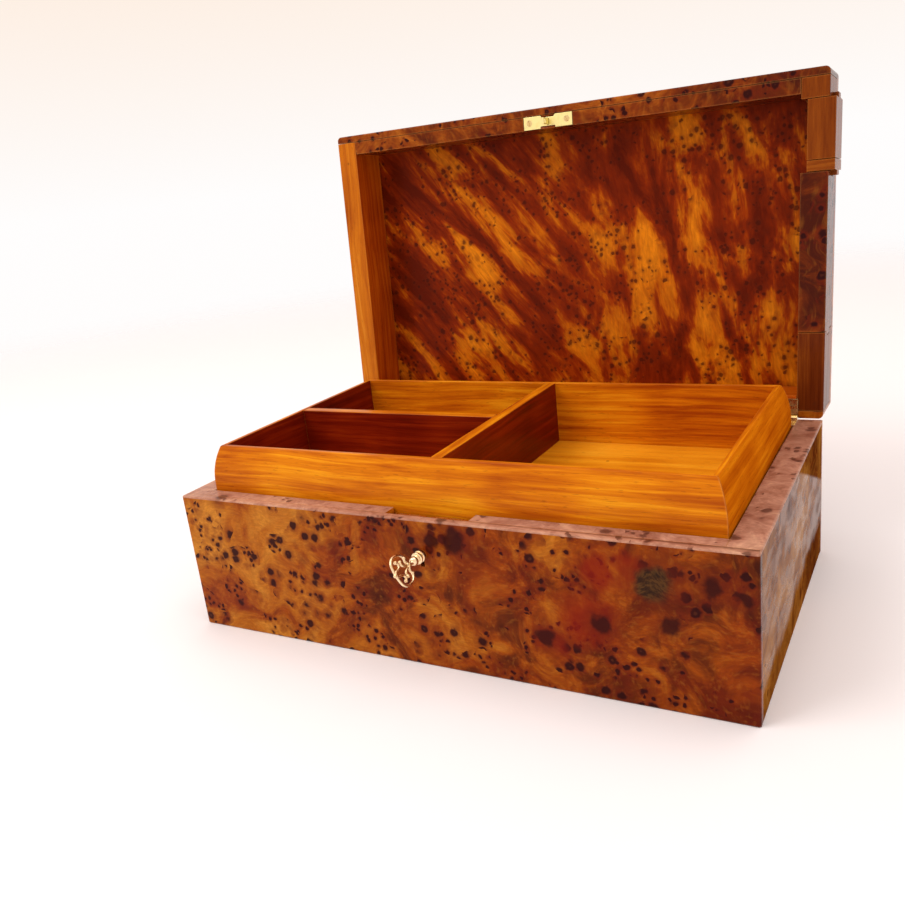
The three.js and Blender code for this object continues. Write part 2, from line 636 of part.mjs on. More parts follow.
// ---------------------------------------------------------------- tray
const TRAY_X = HALF_W - BASE_SIDE_T - TRAY_CLEAR;
const TRAY_Y0 = -HALF_D + BASE_FRONT_T + TRAY_CLEAR;
const TRAY_Y1 = HALF_D - BASE_BACK_T - TRAY_CLEAR;
const TRAY_WALL_T = TRAY_INSET + TRAY_EDGE_T;

// The section of a tray wall: u is measured inwards from the outer face, v is height.
function trayWallSection() {
  const s = new THREE.Shape();
  s.moveTo(0, TRAY_Z);
  const bend = BASE_H + TRAY_CURVE_FROM;
  s.lineTo(0, bend);
  for (let i = 1; i <= CURVE_STEPS; i++) {
    const t = i / CURVE_STEPS;
    s.lineTo(TRAY_INSET * t ** TRAY_CURVE, bend + (TRAY_TOP - bend) * t);
  }
  s.lineTo(TRAY_WALL_T, TRAY_TOP);
  s.lineTo(TRAY_WALL_T, TRAY_Z);
  return s;
}

// A wall of the tray, long in X with its outer face towards -Y at y = 0, mitred at both ends.
function trayWall(length) {
  const half = length / 2 - GLUE;
  const g = new THREE.ExtrudeGeometry(trayWallSection(), {
    depth: 2 * half, bevelEnabled: false, steps: 1,
  });
  g.translate(0, 0, -half);
  g.rotateX(Math.PI / 2).rotateZ(Math.PI / 2);
  const p = g.attributes.position;
  for (let i = 0; i < p.count; i++) {
    const inwards = p.getY(i);
    p.setX(i, Math.sign(p.getX(i)) * (Math.abs(p.getX(i)) - inwards));
  }
  return toSolid(g);
}

function trayBottom() {
  const t = TRAY_WALL_T + GLUE;
  return block(
    -TRAY_X + t, TRAY_X - t, TRAY_Y0 + t, TRAY_Y1 - t, TRAY_Z, TRAY_Z + TRAY_FLOOR_T,
  );
}

const DIVIDER_Z0 = TRAY_Z + TRAY_FLOOR_T + GLUE;
function longDivider() {
  const t = TRAY_WALL_T + GLUE;
  const half = DIVIDER_T / 2;
  return block(
    LONG_DIVIDER_X - half, LONG_DIVIDER_X + half, TRAY_Y0 + t, TRAY_Y1 - t, DIVIDER_Z0, TRAY_TOP,
  );
}

function crossDivider() {
  const t = TRAY_WALL_T + GLUE;
  const half = DIVIDER_T / 2;
  return block(
    -TRAY_X + t, LONG_DIVIDER_X - half - GLUE, CROSS_DIVIDER_Y - half, CROSS_DIVIDER_Y + half,
    DIVIDER_Z0, TRAY_TOP,
  );
}

// ---------------------------------------------------------------- assembly
const box = new THREE.Group();

const base = new THREE.Group();
base.add(
  named("base_front_facing", baseFrontFacing(), BURL),
  named("base_front_wall", baseFrontWall(), PLAIN),
  named("base_back_facing", baseBackFacing(), BURL),
  named("base_back_wall", baseBackWall(), PLAIN),
  named("base_left_wall", baseSideWall(-1), PLAIN),
  named("base_right_wall", baseSideWall(1), BURL),
  named("base_bottom_panel", baseBottomPanel(), PLAIN),
  named("left_tray_ledge", trayLedge(-1), PLAIN),
  named("right_tray_ledge", trayLedge(1), PLAIN),
  named("lock_case", lockCase(), BRASS),
  named("lock_drill_pin", drillPin(), BRASS),
  named("lock_bolt", lockBolt(), BRASS),
  named("left_lock_screw", lockScrew(LOCK_SCREW_XS[0]), BRASS),
  named("right_lock_screw", lockScrew(LOCK_SCREW_XS[1]), BRASS),
);

const keyMesh = named("key", key(), BRASS);
keyMesh.position.set(KEY_X, 0, KEY_Z);
keyMesh.rotation.y = -THREE.MathUtils.degToRad(KEY_TURNED_DEG);
base.add(keyMesh);
box.add(base);

// The lid's pieces are drawn closed, relative to the hinge axis, and the group is swung open.
const lid = new THREE.Group();
lid.position.set(0, AXIS_Y, AXIS_Z);
lid.rotation.x = -THREE.MathUtils.degToRad(LID_OPEN_DEG);
function addToLid(...meshes) {
  for (const mesh of meshes) {
    mesh.position.set(0, -AXIS_Y, -AXIS_Z);
    lid.add(mesh);
  }
}
addToLid(
  named("lid_top_panel", lidTopPanel(), BURL),
  named("lid_front_facing", lidFrontFacing(), BURL),
  named("lid_front_wall", lidFrontWall(), BURL),
  named("lid_back_facing", lidBackFacing(), BURL),
  named("lid_back_wall", lidBackWall(), PLAIN),
  named("lid_left_wall", lidLeftWall(), PLAIN),
  named("lid_right_front_post", lidFrontPost(), PLAIN),
  named("release_block", releaseBlock(), PLAIN),
  named("release_block_band", releaseBlockBand(), PLAIN),
  named("key_drawer", keyDrawer(), DARK_BURL),
  named("lid_right_rear_block", lidRearBlock(), PLAIN),
  named("catch_plate", catchPlate(), BRASS),
  named("catch_hook", catchHook(), BRASS),
);
CATCH_SCREW_XS.forEach((x, i) => {
  const side = i ? "right" : "left";
  addToLid(named(`${side}_catch_screw`, slottedScrew(x, HOOK_Y, LID_Z + CATCH_IN + SCREW_SINK, 1), BRASS));
});

for (const { side, x0 } of HINGES) {
  base.add(named(`${side}_hinge_base_leaf`, hingeLeaf(x0, false), BRASS));
  base.add(named(`${side}_hinge_pin`, hingePin(x0), BRASS));
  addToLid(named(`${side}_hinge_lid_leaf`, hingeLeaf(x0, true), BRASS));
  SCREW_XS(x0).forEach((x, i) => {
    const which = i ? "inner" : "outer";
    const down = slottedScrew(x, HINGE_SCREW_Y, BASE_H - LEAF_FIT / 2 - SCREW_SINK, -1);
    const up = slottedScrew(x, HINGE_SCREW_Y, LID_Z + LEAF_FIT / 2 + SCREW_SINK, 1);
    base.add(named(`${side}_hinge_base_screw_${which}`, down, BRASS));
    addToLid(named(`${side}_hinge_lid_screw_${which}`, up, BRASS));
  });
}
box.add(lid);

const tray = new THREE.Group();
const trayMiddleY = (TRAY_Y0 + TRAY_Y1) / 2;
const TRAY_WALLS = [
  { name: "tray_front_wall", length: 2 * TRAY_X, at: [0, TRAY_Y0], turn: 0 },
  { name: "tray_right_wall", length: TRAY_Y1 - TRAY_Y0, at: [TRAY_X, trayMiddleY], turn: Math.PI / 2 },
  { name: "tray_back_wall", length: 2 * TRAY_X, at: [0, TRAY_Y1], turn: Math.PI },
  { name: "tray_left_wall", length: TRAY_Y1 - TRAY_Y0, at: [-TRAY_X, trayMiddleY], turn: -Math.PI / 2 },
];
for (const { name, length, at, turn } of TRAY_WALLS) {
  const wall = named(name, trayWall(length), TRAY_WOOD);
  wall.position.set(at[0], at[1], 0);
  wall.rotation.z = turn;
  tray.add(wall);
}
tray.add(
  named("tray_bottom", trayBottom(), TRAY_WOOD),
  named("tray_long_divider", longDivider(), TRAY_WOOD),
  named("tray_cross_divider", crossDivider(), TRAY_WOOD),
);
box.add(tray);

export default box;
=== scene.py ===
"""A burl wood puzzle box with its lid open: polished wood, a lift-out tray and brass fittings."""

import json
import math
from collections import namedtuple

import bmesh
import bpy
from mathutils import Euler, Matrix, Vector


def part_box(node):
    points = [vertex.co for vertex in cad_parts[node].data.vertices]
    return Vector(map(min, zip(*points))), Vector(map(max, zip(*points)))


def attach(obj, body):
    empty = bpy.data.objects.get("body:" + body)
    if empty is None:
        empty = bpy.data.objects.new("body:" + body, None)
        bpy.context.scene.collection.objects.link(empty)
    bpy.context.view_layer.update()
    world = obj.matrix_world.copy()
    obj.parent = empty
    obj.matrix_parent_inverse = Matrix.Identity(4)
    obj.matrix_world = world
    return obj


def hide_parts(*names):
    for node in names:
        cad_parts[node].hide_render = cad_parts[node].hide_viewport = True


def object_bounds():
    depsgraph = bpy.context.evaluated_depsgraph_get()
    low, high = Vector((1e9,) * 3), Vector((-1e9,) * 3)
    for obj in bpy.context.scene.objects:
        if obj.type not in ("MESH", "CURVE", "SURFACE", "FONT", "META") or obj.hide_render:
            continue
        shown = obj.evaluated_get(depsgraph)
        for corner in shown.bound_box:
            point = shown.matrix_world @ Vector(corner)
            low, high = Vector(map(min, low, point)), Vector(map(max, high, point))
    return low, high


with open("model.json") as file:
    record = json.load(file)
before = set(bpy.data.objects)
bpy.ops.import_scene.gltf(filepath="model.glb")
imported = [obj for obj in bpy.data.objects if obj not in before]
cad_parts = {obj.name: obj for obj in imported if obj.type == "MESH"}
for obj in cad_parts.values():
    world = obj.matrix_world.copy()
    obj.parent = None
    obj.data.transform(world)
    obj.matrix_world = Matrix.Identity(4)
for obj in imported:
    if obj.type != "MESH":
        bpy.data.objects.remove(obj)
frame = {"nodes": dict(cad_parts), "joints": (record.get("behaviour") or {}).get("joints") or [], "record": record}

solid_low, solid_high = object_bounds()

MM = 0.001
NODES = frame["nodes"]
JOINTS = {j["name"]: j for j in frame["joints"]}
BODY_OF = {n: body for body, names in frame["record"]["behaviour"]["bodies"].items() for n in names}

# ------------------------------------------------------------------ sizes
OUTER_EASE = 0.9 * MM      # outer edges of the box, sanded round
CORNER_REACH = 2.7 * MM    # how far the upright corners' rounding reaches along each side
SLIDING_EASE = 0.3 * MM    # edges of the secret pieces
TRAY_EASE = 0.5 * MM       # edges of the tray
BRASS_EASE = 0.12 * MM     # filed edges of sheet brass
MEETING_EASE = 0.15 * MM   # back edges, where the open lid meets the base
SAME = 0.02 * MM           # two places closer than this are the same
SHORTEST_SLIDING, SHORTEST_TRAY, SHORTEST_BRASS = 4 * MM, 3 * MM, 1.5 * MM  # edges eased on each
DOUBLE = 0.0005 * MM       # corners of a solid's triangles closer than this are one
SHARP = math.radians(40)   # only edges that turn more than this are eased
CREASE = math.radians(38)  # shading stays sharp over edges that turn more than this
FLAT = math.radians(0.5)   # triangles that turn less than this make one face
LOOKS_RIGHT = 0.25         # a face looks right if its normal leans that way by more than this
UPRIGHT = 0.5              # a face is upright if its normal rises or falls by less than this

LID_OPEN = math.radians(JOINTS["lid_hinge"]["range_deg"][1])
LID_AXIS = Vector(JOINTS["lid_hinge"]["pos_m"])
CLOSE_LID = (
    Matrix.Translation(LID_AXIS)
    @ Matrix.Rotation(LID_OPEN, 4, "X")
    @ Matrix.Translation(-LID_AXIS)
)


# ------------------------------------------------------------------ finishes
class Finish:
    """One material, built up from plain steps. Values alike all over go on the shader's own sockets."""

    def __init__(self, name, turn=(0, 0, 0)):
        self.material = bpy.data.materials.new(name)
        self.material.use_nodes = True
        self.tree = self.material.node_tree
        self.tree.nodes.clear()
        self.shader = self.tree.nodes.new("ShaderNodeBsdfPrincipled")
        output = self.tree.nodes.new("ShaderNodeOutputMaterial")
        self.tree.links.new(self.shader.outputs["BSDF"], output.inputs["Surface"])
        place = self.tree.nodes.new("ShaderNodeTexCoord").outputs["Object"]
        self.place = self.mapped(place, turn=turn) if any(turn) else place

    def wire(self, socket, value):
        if isinstance(value, bpy.types.NodeSocket):
            self.tree.links.new(value, socket)
        else:
            socket.default_value = value

    def node(self, kind, values=(), **settings):
        made = self.tree.nodes.new(kind)
        for key, value in settings.items():
            setattr(made, key, value)
        for socket, value in dict(values).items():
            self.wire(made.inputs[socket], value)
        return made

    def mapped(self, place, move=(0, 0, 0), turn=(0, 0, 0), scale=(1, 1, 1)):
        values = {"Vector": place, "Location": move, "Rotation": turn, "Scale": scale}
        return self.node("ShaderNodeMapping", values).outputs[0]

    def noise(self, place, size, detail=3.0, roughness=0.5, distortion=0.0):
        """Cloudy noise whose lumps are about size metres across: (value, colour)."""
        values = {"Vector": place, "Scale": 1 / size, "Detail": detail,
                  "Roughness": roughness, "Distortion": distortion}
        made = self.node("ShaderNodeTexNoise", values)
        return made.outputs[0], made.outputs[1]

    def cells(self, place, size):
        """Cells about size metres across: (distance from the middle in sizes, random colour)."""
        made = self.node("ShaderNodeTexVoronoi", {"Vector": place, "Scale": 1 / size})
        return made.outputs["Distance"], made.outputs["Color"]

    def math(self, operation, a, b=0.0, c=0.0):
        return self.node("ShaderNodeMath", {0: a, 1: b, 2: c}, operation=operation).outputs[0]

    def vector(self, operation, a, b):
        made = self.node("ShaderNodeVectorMath", {0: a, 1: b}, operation=operation)
        return made.outputs["Value" if operation in ("DISTANCE", "DOT_PRODUCT") else "Vector"]

    def span(self, value, low, high, to_low=0.0, to_high=1.0):
        """Eases from to_low, where value is low or beyond, to to_high, where it is high or beyond."""
        values = {0: value, 1: low, 2: high, 3: to_low, 4: to_high}
        return self.node("ShaderNodeMapRange", values, interpolation_type="SMOOTHSTEP").outputs[0]

    def parts(self, place):
        return self.node("ShaderNodeSeparateXYZ", {0: place}).outputs

    def joined(self, x, y, z):
        return self.node("ShaderNodeCombineXYZ", {0: x, 1: y, 2: z}).outputs[0]

    def pushed(self, place, size, by, detail=2.0):
        """place, pushed about by up to half of by metres in swirls of that size."""
        swirl = self.noise(place, size, detail)[1]
        centred = self.vector("SUBTRACT", swirl, (0.5, 0.5, 0.5))
        return self.vector("ADD", place, self.vector("MULTIPLY", centred, (by, by, by)))

    def ramp(self, value, stops):
        made = self.node("ShaderNodeValToRGB", {0: value})
        steps = made.color_ramp.elements
        while len(steps) < len(stops):
            steps.new(0.5)
        for step, (at, colour) in zip(steps, stops):
            step.position = at
            step.color = (*colour, 1)
        return made.outputs[0]

    def scaled(self, value, by):
        return self.math("MULTIPLY", value, by)

    def most(self, *values):
        highest = values[0]
        for value in values[1:]:
            highest = self.math("MAXIMUM", highest, value)
        return highest

    def blend(self, share, a, b):
        """Colour a, with that share of colour b over it."""
        made = self.tree.nodes.new("ShaderNodeMix")
        made.data_type = "RGBA"
        sockets = {s.identifier: s for s in made.inputs}
        self.wire(sockets["Factor_Float"], share)
        for name, value in (("A_Color", a), ("B_Color", b)):
            self.wire(sockets[name], (*value, 1) if isinstance(value, tuple) else value)
        return next(s for s in made.outputs if s.identifier == "Result_Color")

    def bump(self, height, depth, strength):
        values = {"Height": height, "Distance": depth, "Strength": strength}
        return self.node("ShaderNodeBump", values).outputs[0]

    def edges(self, reach):
        """1 on edges and corners, 0 on the flat, from how far a rounded normal leans away."""
        rounded = self.node("ShaderNodeBevel", {"Radius": reach}, samples=4).outputs[0]
        straight = self.node("ShaderNodeNewGeometry").outputs["Normal"]
        agreement = self.vector("DOT_PRODUCT", rounded, straight)
        return self.span(agreement, 0.99, 0.8)

    def set(self, **values):
        for name, value in values.items():
            self.wire(self.shader.inputs[name.replace("_", " ")], value)


# Colours are linear red, green and blue.
DARK_FIBRE = (0.07, 0.008, 0.001)
# The pink ripple is a painted reflection, used only on the pale rim.
GOLDEN_RIPPLE, PINK_GLARE_RIPPLE = (0.55, 0.19, 0.02), (0.66, 0.36, 0.24)
RED_PATCH, RED_STAIN = (0.19, 0.006, 0.001), (0.20, 0.008, 0.001)
EYE, EYE_HALO, EYE_PITH = (0.022, 0.0018, 0.002), (0.13, 0.010, 0.002), (0.12, 0.03, 0.012)
KNOT, KNOT_HALO = (0.024, 0.002, 0.002), (0.11, 0.009, 0.002)
HOLLOW, HOLLOW_FIBRE = (0.016, 0.010, 0.005), (0.075, 0.036, 0.010)
LID_EYE, LID_EYE_HALO = (0.05, 0.006, 0.002), (0.12, 0.014, 0.003)
PORE, FLECK = (0.09, 0.010, 0.002), (0.08, 0.014, 0.003)
# These three edge colours are painted highlights, laid on edges and corners.
BURL_EDGE_HIGHLIGHT, PLAIN_EDGE_HIGHLIGHT, BRASS_EDGE_HIGHLIGHT = (0.5, 0.22, 0.06), (0.66, 0.27, 0.06), (1.0, 0.86, 0.58)

# A kind of burl eye: the size of the cell that each stands in, its smallest and largest radius in cells,
# the size of the clusters, the noise at their edge and how soft that edge is, the share of a cluster's
# cells that hold an eye, and a shift that keeps one kind off another.
EyeKind = namedtuple("EyeKind", "cell small large cluster edge softness share shift")
SMALL_EYES = EyeKind(7.2 * MM, 0.22, 0.42, 27 * MM, 0.52, 0.04, 1.0, (0, 0, 0))
TINY_EYES = EyeKind(4.2 * MM, 0.24, 0.44, 17 * MM, 0.56, 0.03, 1.0, (0.31, 0.17, 0.05))
LARGE_EYES = EyeKind(16 * MM, 0.17, 0.26, 60 * MM, 0.5, 0.1, 0.6, (0.11, 0.43, 0.29))
LID_SMALL_EYES = EyeKind(5.2 * MM, 0.2, 0.36, 26 * MM, 0.5, 0.12, 0.9, (0, 0, 0))
LID_TINY_EYES = EyeKind(3.4 * MM, 0.2, 0.36, 18 * MM, 0.5, 0.1, 0.8, (0.2, 0.1, 0.4))
FLECKS = EyeKind(9 * MM, 0.1, 0.2, 40 * MM, 0.5, 0.1, 1.0, (0, 0, 0))


def eyes(f, place, kind, share=1.0):
    """Round burl eyes. Returns how dark the eye, its halo and its pith are at each point."""
    if any(kind.shift):
        place = f.mapped(place, move=kind.shift)
    distance, tint = f.cells(place, kind.cell)
    chance, random_size, random_pith = f.node("ShaderNodeSeparateColor", {0: tint}).outputs[:3]
    gathered = f.noise(place, kind.cluster, 1.0)[0]
    wanted = f.span(gathered, kind.edge - kind.softness, kind.edge + kind.softness,
                    0.0, share * kind.share)
    present = f.math("LESS_THAN", chance, wanted)
    radius = f.math("MULTIPLY_ADD", random_size, kind.large - kind.small, kind.small)
    radii_away = f.math("DIVIDE", distance, radius)
    eye = f.span(radii_away, 1.15, 0.7)
    halo = f.span(radii_away, 2.3, 0.8)
    has_pith = f.math("GREATER_THAN", random_pith, 0.6)
    pith = f.math("MULTIPLY", f.span(radii_away, 0.42, 0.2), has_pith)
    return [f.math("MULTIPLY", part, present) for part in (eye, halo, pith)]


def spots(f, place, chosen, soft=0.35, wider=1.0):
    """1 inside the chosen spots, each (x, y, z, radius) in metres, and 0 outside."""
    found = 0.0
    for x, y, z, radius in chosen:
        away = f.vector("DISTANCE", place, (x, y, z))
        spot = f.span(away, radius * wider * (1 + soft), radius * wider * (1 - soft))
        found = f.math("MAXIMUM", spot, found)
    return found


def lacquer(f, gloss=0.6, rough=0.1, sheen=0.03):
    """A thin clear coat. Its index is low, so that dark wood stays dark when it is seen aslant."""
    f.set(Coat_Weight=gloss, Coat_Roughness=rough, Coat_IOR=1.16, Specular_IOR_Level=sheen)


def burl_tone(f, swirled, across, figure, lean):
    """How light the burl is: swirled figure, wide zones, and a lean from side to side."""
    zone_share = 0.45
    flow = f.noise(swirled, figure, 5.0, 0.6, 0.9)[0]
    zones = f.noise(f.place, 95 * MM, 1.0)[0]
    leaning = f.math("MULTIPLY_ADD", across, lean, -zone_share / 2)
    return f.math("ADD", f.math("MULTIPLY_ADD", zones, zone_share, leaning), flow)


def with_big_knots(f, colour, fibres, big_knots, stains):
    """Red stains and large knots in chosen places. The first knot is hollow and greyish."""
    stained_place = f.pushed(f.place, 15 * MM, 22 * MM, 4.0)
    knot_place = f.pushed(f.place, 7 * MM, 9 * MM, 3.0)
    stain = spots(f, stained_place, stains, 0.6)
    colour = f.blend(f.scaled(stain, 0.75), colour, RED_STAIN)
    halo = spots(f, knot_place, big_knots, 0.6, 1.7)
    colour = f.blend(f.scaled(halo, 0.6), colour, KNOT_HALO)
    hollow = f.blend(f.span(fibres, 0.35, 0.65), HOLLOW, HOLLOW_FIBRE)
    colour = f.blend(f.scaled(spots(f, knot_place, big_knots[:1]), 0.88), colour, hollow)
    return f.blend(f.scaled(spots(f, knot_place, big_knots[1:]), 0.85), colour, KNOT)


def burl(name, tones, turn=(0, 0, 0), lean=0.0, redness=0.0, figure=30 * MM, ripple=GOLDEN_RIPPLE,
         eye_share=0.9, eye_depth=0.95, big_knots=(), stains=()):
    """Burl in those tones, dark to light: swirled figure, fine fibres, and clusters of dark eyes.

    Its tone rises by lean for each metre to the right, and redness is how strong its red patches are at
    the right end.
    """
    f = Finish(name, turn)
    swirled = f.pushed(f.place, 42 * MM, 34 * MM)
    across = f.parts(f.place)[0]
    colour = f.ramp(burl_tone(f, swirled, across, figure, lean), tones)
    if redness:
        patches = f.noise(f.mapped(swirled, move=(0.7, 0.2, 0.4)), 36 * MM, 2.0)[0]
        reddest = f.span(across, -80 * MM, 100 * MM, 0.25, redness)
        patch = f.math("MULTIPLY", f.span(patches, 0.52, 0.62), reddest)
        colour = f.blend(patch, colour, RED_PATCH)

    fibres = f.noise(f.mapped(swirled, scale=(0.35, 1, 1)), 1.3 * MM, 3.0, 0.65)[0]
    colour = f.blend(f.span(fibres, 0.35, 0.7, 0.3, 0.0), colour, DARK_FIBRE)
    slanted = f.mapped(swirled, turn=(0.3, 0.2, 0.9), scale=(1, 0.18, 1))
    ripples = f.noise(slanted, 2.6 * MM, 2.0)[0]
    colour = f.blend(f.span(ripples, 0.5, 0.75, 0.0, 0.16), colour, ripple)

    ragged = f.pushed(f.place, 2.6 * MM, 2.0 * MM, 1.0)
    small, tiny, large = (eyes(f, ragged, kind, eye_share)
                          for kind in (SMALL_EYES, TINY_EYES, LARGE_EYES))
    eye = f.most(small[0], tiny[0], large[0])
    halo = f.most(small[1], tiny[1], large[1])
    pith = f.most(small[2], large[2])
    colour = f.blend(f.scaled(halo, eye_depth * 0.6), colour, EYE_HALO)
    colour = f.blend(f.scaled(eye, eye_depth), colour, EYE)
    colour = f.blend(f.scaled(pith, 0.3), colour, EYE_PITH)
    if big_knots:
        colour = with_big_knots(f, colour, fibres, big_knots, stains)
    # painted highlight: edges and corners lightened
    colour = f.blend(f.scaled(f.edges(1.2 * MM), 0.3), colour, BURL_EDGE_HIGHLIGHT)

    height = f.math("MULTIPLY_ADD", eye, -0.7, f.scaled(fibres, 0.35))
    rough = f.math("MULTIPLY_ADD", eye, 0.12, f.span(fibres, 0.2, 0.8, 0.3, 0.48))
    f.set(Base_Color=colour, Roughness=rough, Normal=f.bump(height, 0.12 * MM, 0.5))
    lacquer(f)
    return f


def hazy_side_burl(name, tones):
    """The right side: a mottled haze in its lacquer, clear of the foot and of the back's top."""
    f = burl(name, tones, eye_share=0.5, eye_depth=0.5)
    _, along, up = f.parts(f.place)
    wave = f.noise(f.place, 16 * MM, 3.0)[0]
    above_foot = f.math("MULTIPLY_ADD", wave, 14 * MM, f.math("MULTIPLY_ADD", along, -0.06, up))
    below_top = f.math("MULTIPLY_ADD", along, 0.4, up)
    haze = f.math("MULTIPLY", f.span(above_foot, 22 * MM, 28 * MM),
                  f.span(below_top, 79 * MM, 77 * MM))
    clouds = f.mapped(f.pushed(f.place, 20 * MM, 12 * MM), scale=(1, 0.35, 1))
    mottle = f.span(f.noise(clouds, 8 * MM, 4.0)[0], 0.38, 0.62, 0.45, 0.9)
    f.set(Coat_Weight=f.math("MULTIPLY", haze, mottle), Specular_IOR_Level=0.0)
    return f


def flamed_burl(name, turn):
    """The lid's inside: golden flames over dark brown, that lean at the left and stand at the right."""
    f = Finish(name, turn)
    x, up, _ = f.parts(f.place)
    flames, fibres = [], []
    for slant in LEFT_SLANT, RIGHT_SLANT:
        across = f.math("MULTIPLY_ADD", up, slant, x)
        bent = f.pushed(f.joined(across, f.scaled(up, 0.4), 0.0), 18 * MM, 8 * MM, 3.0)
        flames.append(f.noise(bent, 19 * MM, 5.0, 0.62, 0.3)[0])
        fibres.append(f.noise(f.mapped(bent, scale=(1, 0.4, 1)), 1.5 * MM, 3.0, 0.6)[0])
    right = f.span(x, -60 * MM, 70 * MM)
    flames, fibres = (f.math("MULTIPLY_ADD", f.math("SUBTRACT", b, a), right, a)
                      for a, b in (flames, fibres))

    cloud_share = 0.3
    clouds = f.noise(f.place, 60 * MM, 1.0)[0]
    tone = f.math("MULTIPLY_ADD", clouds, cloud_share, f.math("SUBTRACT", flames, cloud_share / 2))
    # Painted shade: the lid's inside is darker towards its top, its foot and its left, where its rims shade it.
    shade_from_top = f.span(up, -80 * MM, -20 * MM, -0.07, 0.0)
    shade_from_foot = f.span(up, 50 * MM, 80 * MM, 0.0, -0.07)
    shade_from_left = f.span(x, -140 * MM, -90 * MM, -0.04, 0.0)
    for painted_shade in (shade_from_top, shade_from_foot, shade_from_left):
        tone = f.math("ADD", tone, painted_shade)
    colour = f.ramp(tone, FLAME_TONES)
    colour = f.blend(f.span(fibres, 0.35, 0.68, 0.3, 0.0), colour, DARK_FIBRE)

    ragged = f.pushed(f.place, 2.4 * MM, 1.7 * MM, 1.0)
    small, tiny = eyes(f, ragged, LID_SMALL_EYES), eyes(f, ragged, LID_TINY_EYES)
    eye = f.most(small[0], tiny[0])
    colour = f.blend(f.scaled(f.most(small[1], tiny[1]), 0.4), colour, LID_EYE_HALO)
    colour = f.blend(f.scaled(eye, 0.7), colour, LID_EYE)
    rough = f.math("MULTIPLY_ADD", eye, 0.1, f.span(fibres, 0.2, 0.8, 0.38, 0.55))
    f.set(Base_Color=colour, Roughness=rough, Normal=f.bump(fibres, 0.06 * MM, 0.5))
    lacquer(f, 0.2, 0.16)
    return f


def straight_grain(name, along, tones, turn=(0, 0, 0), streak=3 * MM, contrast=0.6, flecks=0.0,
                   gloss=0.45, sheen=0.03):
    """Plain wood whose grain runs along that axis, in tones from late wood to early wood."""
    f = Finish(name, turn)

    def drawn_out(place, by):
        return f.mapped(place, scale=tuple(by if axis == along else 1.0 for axis in "xyz"))

    bent = f.pushed(f.place, 110 * MM, 9 * MM, 1.0)
    grain = drawn_out(bent, 0.03)
    streaks = f.noise(grain, streak, 3.0, 0.55, 0.4)[0]
    lines = f.noise(grain, 1.1 * MM, 3.0, 0.7)[0]
    clouds = f.noise(f.place, 48 * MM, 2.0)[0]
    share = 0.5
    tone = f.math("MULTIPLY_ADD", lines, share, f.math("SUBTRACT", streaks, share / 2))
    tone = f.math("MULTIPLY_ADD", tone, contrast, 0.5 - contrast / 2)
    tone = f.math("MULTIPLY_ADD", clouds, share, f.math("SUBTRACT", tone, share / 2))
    colour = f.ramp(tone, tones)

    dashes = f.noise(drawn_out(bent, 0.1), 0.5 * MM, 1.0)[0]
    pores = f.span(dashes, 0.64, 0.74)
    colour = f.blend(f.scaled(pores, 0.3), colour, PORE)
    if flecks:
        dark = eyes(f, f.pushed(f.place, 3 * MM, 2 * MM), FLECKS, flecks)[0]
        colour = f.blend(f.scaled(dark, 0.7), colour, FLECK)
    # painted highlight: edges and corners lightened
    colour = f.blend(f.scaled(f.edges(0.9 * MM), 0.35), colour, PLAIN_EDGE_HIGHLIGHT)

    height = f.math("MULTIPLY_ADD", pores, -0.6, lines)
    f.set(Base_Color=colour, Roughness=f.span(lines, 0.25, 0.8, 0.3, 0.5),
          Normal=f.bump(height, 0.08 * MM, 0.45))
    lacquer(f, gloss, 0.14, sheen)
    return f


def brass(name, colour, dull, rough=0.24):
    """Polished brass: fine brushing, duller patches, and edges lightened with a painted highlight."""
    f = Finish(name)
    patches = f.noise(f.place, 4 * MM, 3.0)[0]
    brushing = f.noise(f.mapped(f.place, scale=(0.06, 1, 1)), 0.25 * MM, 2.0)[0]
    tint = f.blend(f.span(patches, 0.45, 0.7, 0.0, 0.6), colour, dull)
    # painted highlight: edges and corners lightened
    tint = f.blend(f.scaled(f.edges(0.25 * MM), 0.6), tint, BRASS_EDGE_HIGHLIGHT)
    roughness = f.math("ADD", f.span(patches, 0.3, 0.7, rough - 0.05, rough + 0.14),
                       f.span(brushing, 0.3, 0.7, -0.03, 0.05))
    f.set(Base_Color=tint, Metallic=1.0, Roughness=roughness, Normal=f.bump(brushing, 0.01 * MM, 0.4))
    return f


TO_CLOSED = (LID_OPEN, 0, 0)  # turns the open lid's places to the closed lid's
LEFT_SLANT, RIGHT_SLANT = -0.8, -0.15  # how far sideways a flame goes for each unit that it rises

# Each table holds (place in the ramp, colour), from dark to light.
FLAME_TONES = [
    (0.30, (0.11, 0.008, 0.0006)), (0.40, (0.23, 0.020, 0.0008)), (0.45, (0.34, 0.044, 0.001)),
    (0.49, (0.52, 0.115, 0.002)), (0.60, (0.74, 0.22, 0.005)),
]
FRONT_TONES = [
    (0.28, (0.045, 0.006, 0.001)), (0.40, (0.125, 0.020, 0.0015)), (0.50, (0.29, 0.054, 0.002)),
    (0.60, (0.41, 0.115, 0.006)), (0.76, (0.56, 0.21, 0.020)),
]
BROWN_TONES = [
    (0.30, (0.055, 0.007, 0.002)), (0.44, (0.13, 0.020, 0.002)), (0.55, (0.24, 0.046, 0.003)),
    (0.66, (0.35, 0.085, 0.006)), (0.8, (0.50, 0.16, 0.015)),
]
SIDE_TONES = [
    (0.30, (0.08, 0.02, 0.004)), (0.44, (0.15, 0.045, 0.007)), (0.56, (0.24, 0.085, 0.012)),
    (0.68, (0.34, 0.14, 0.025)), (0.8, (0.46, 0.21, 0.05)),
]
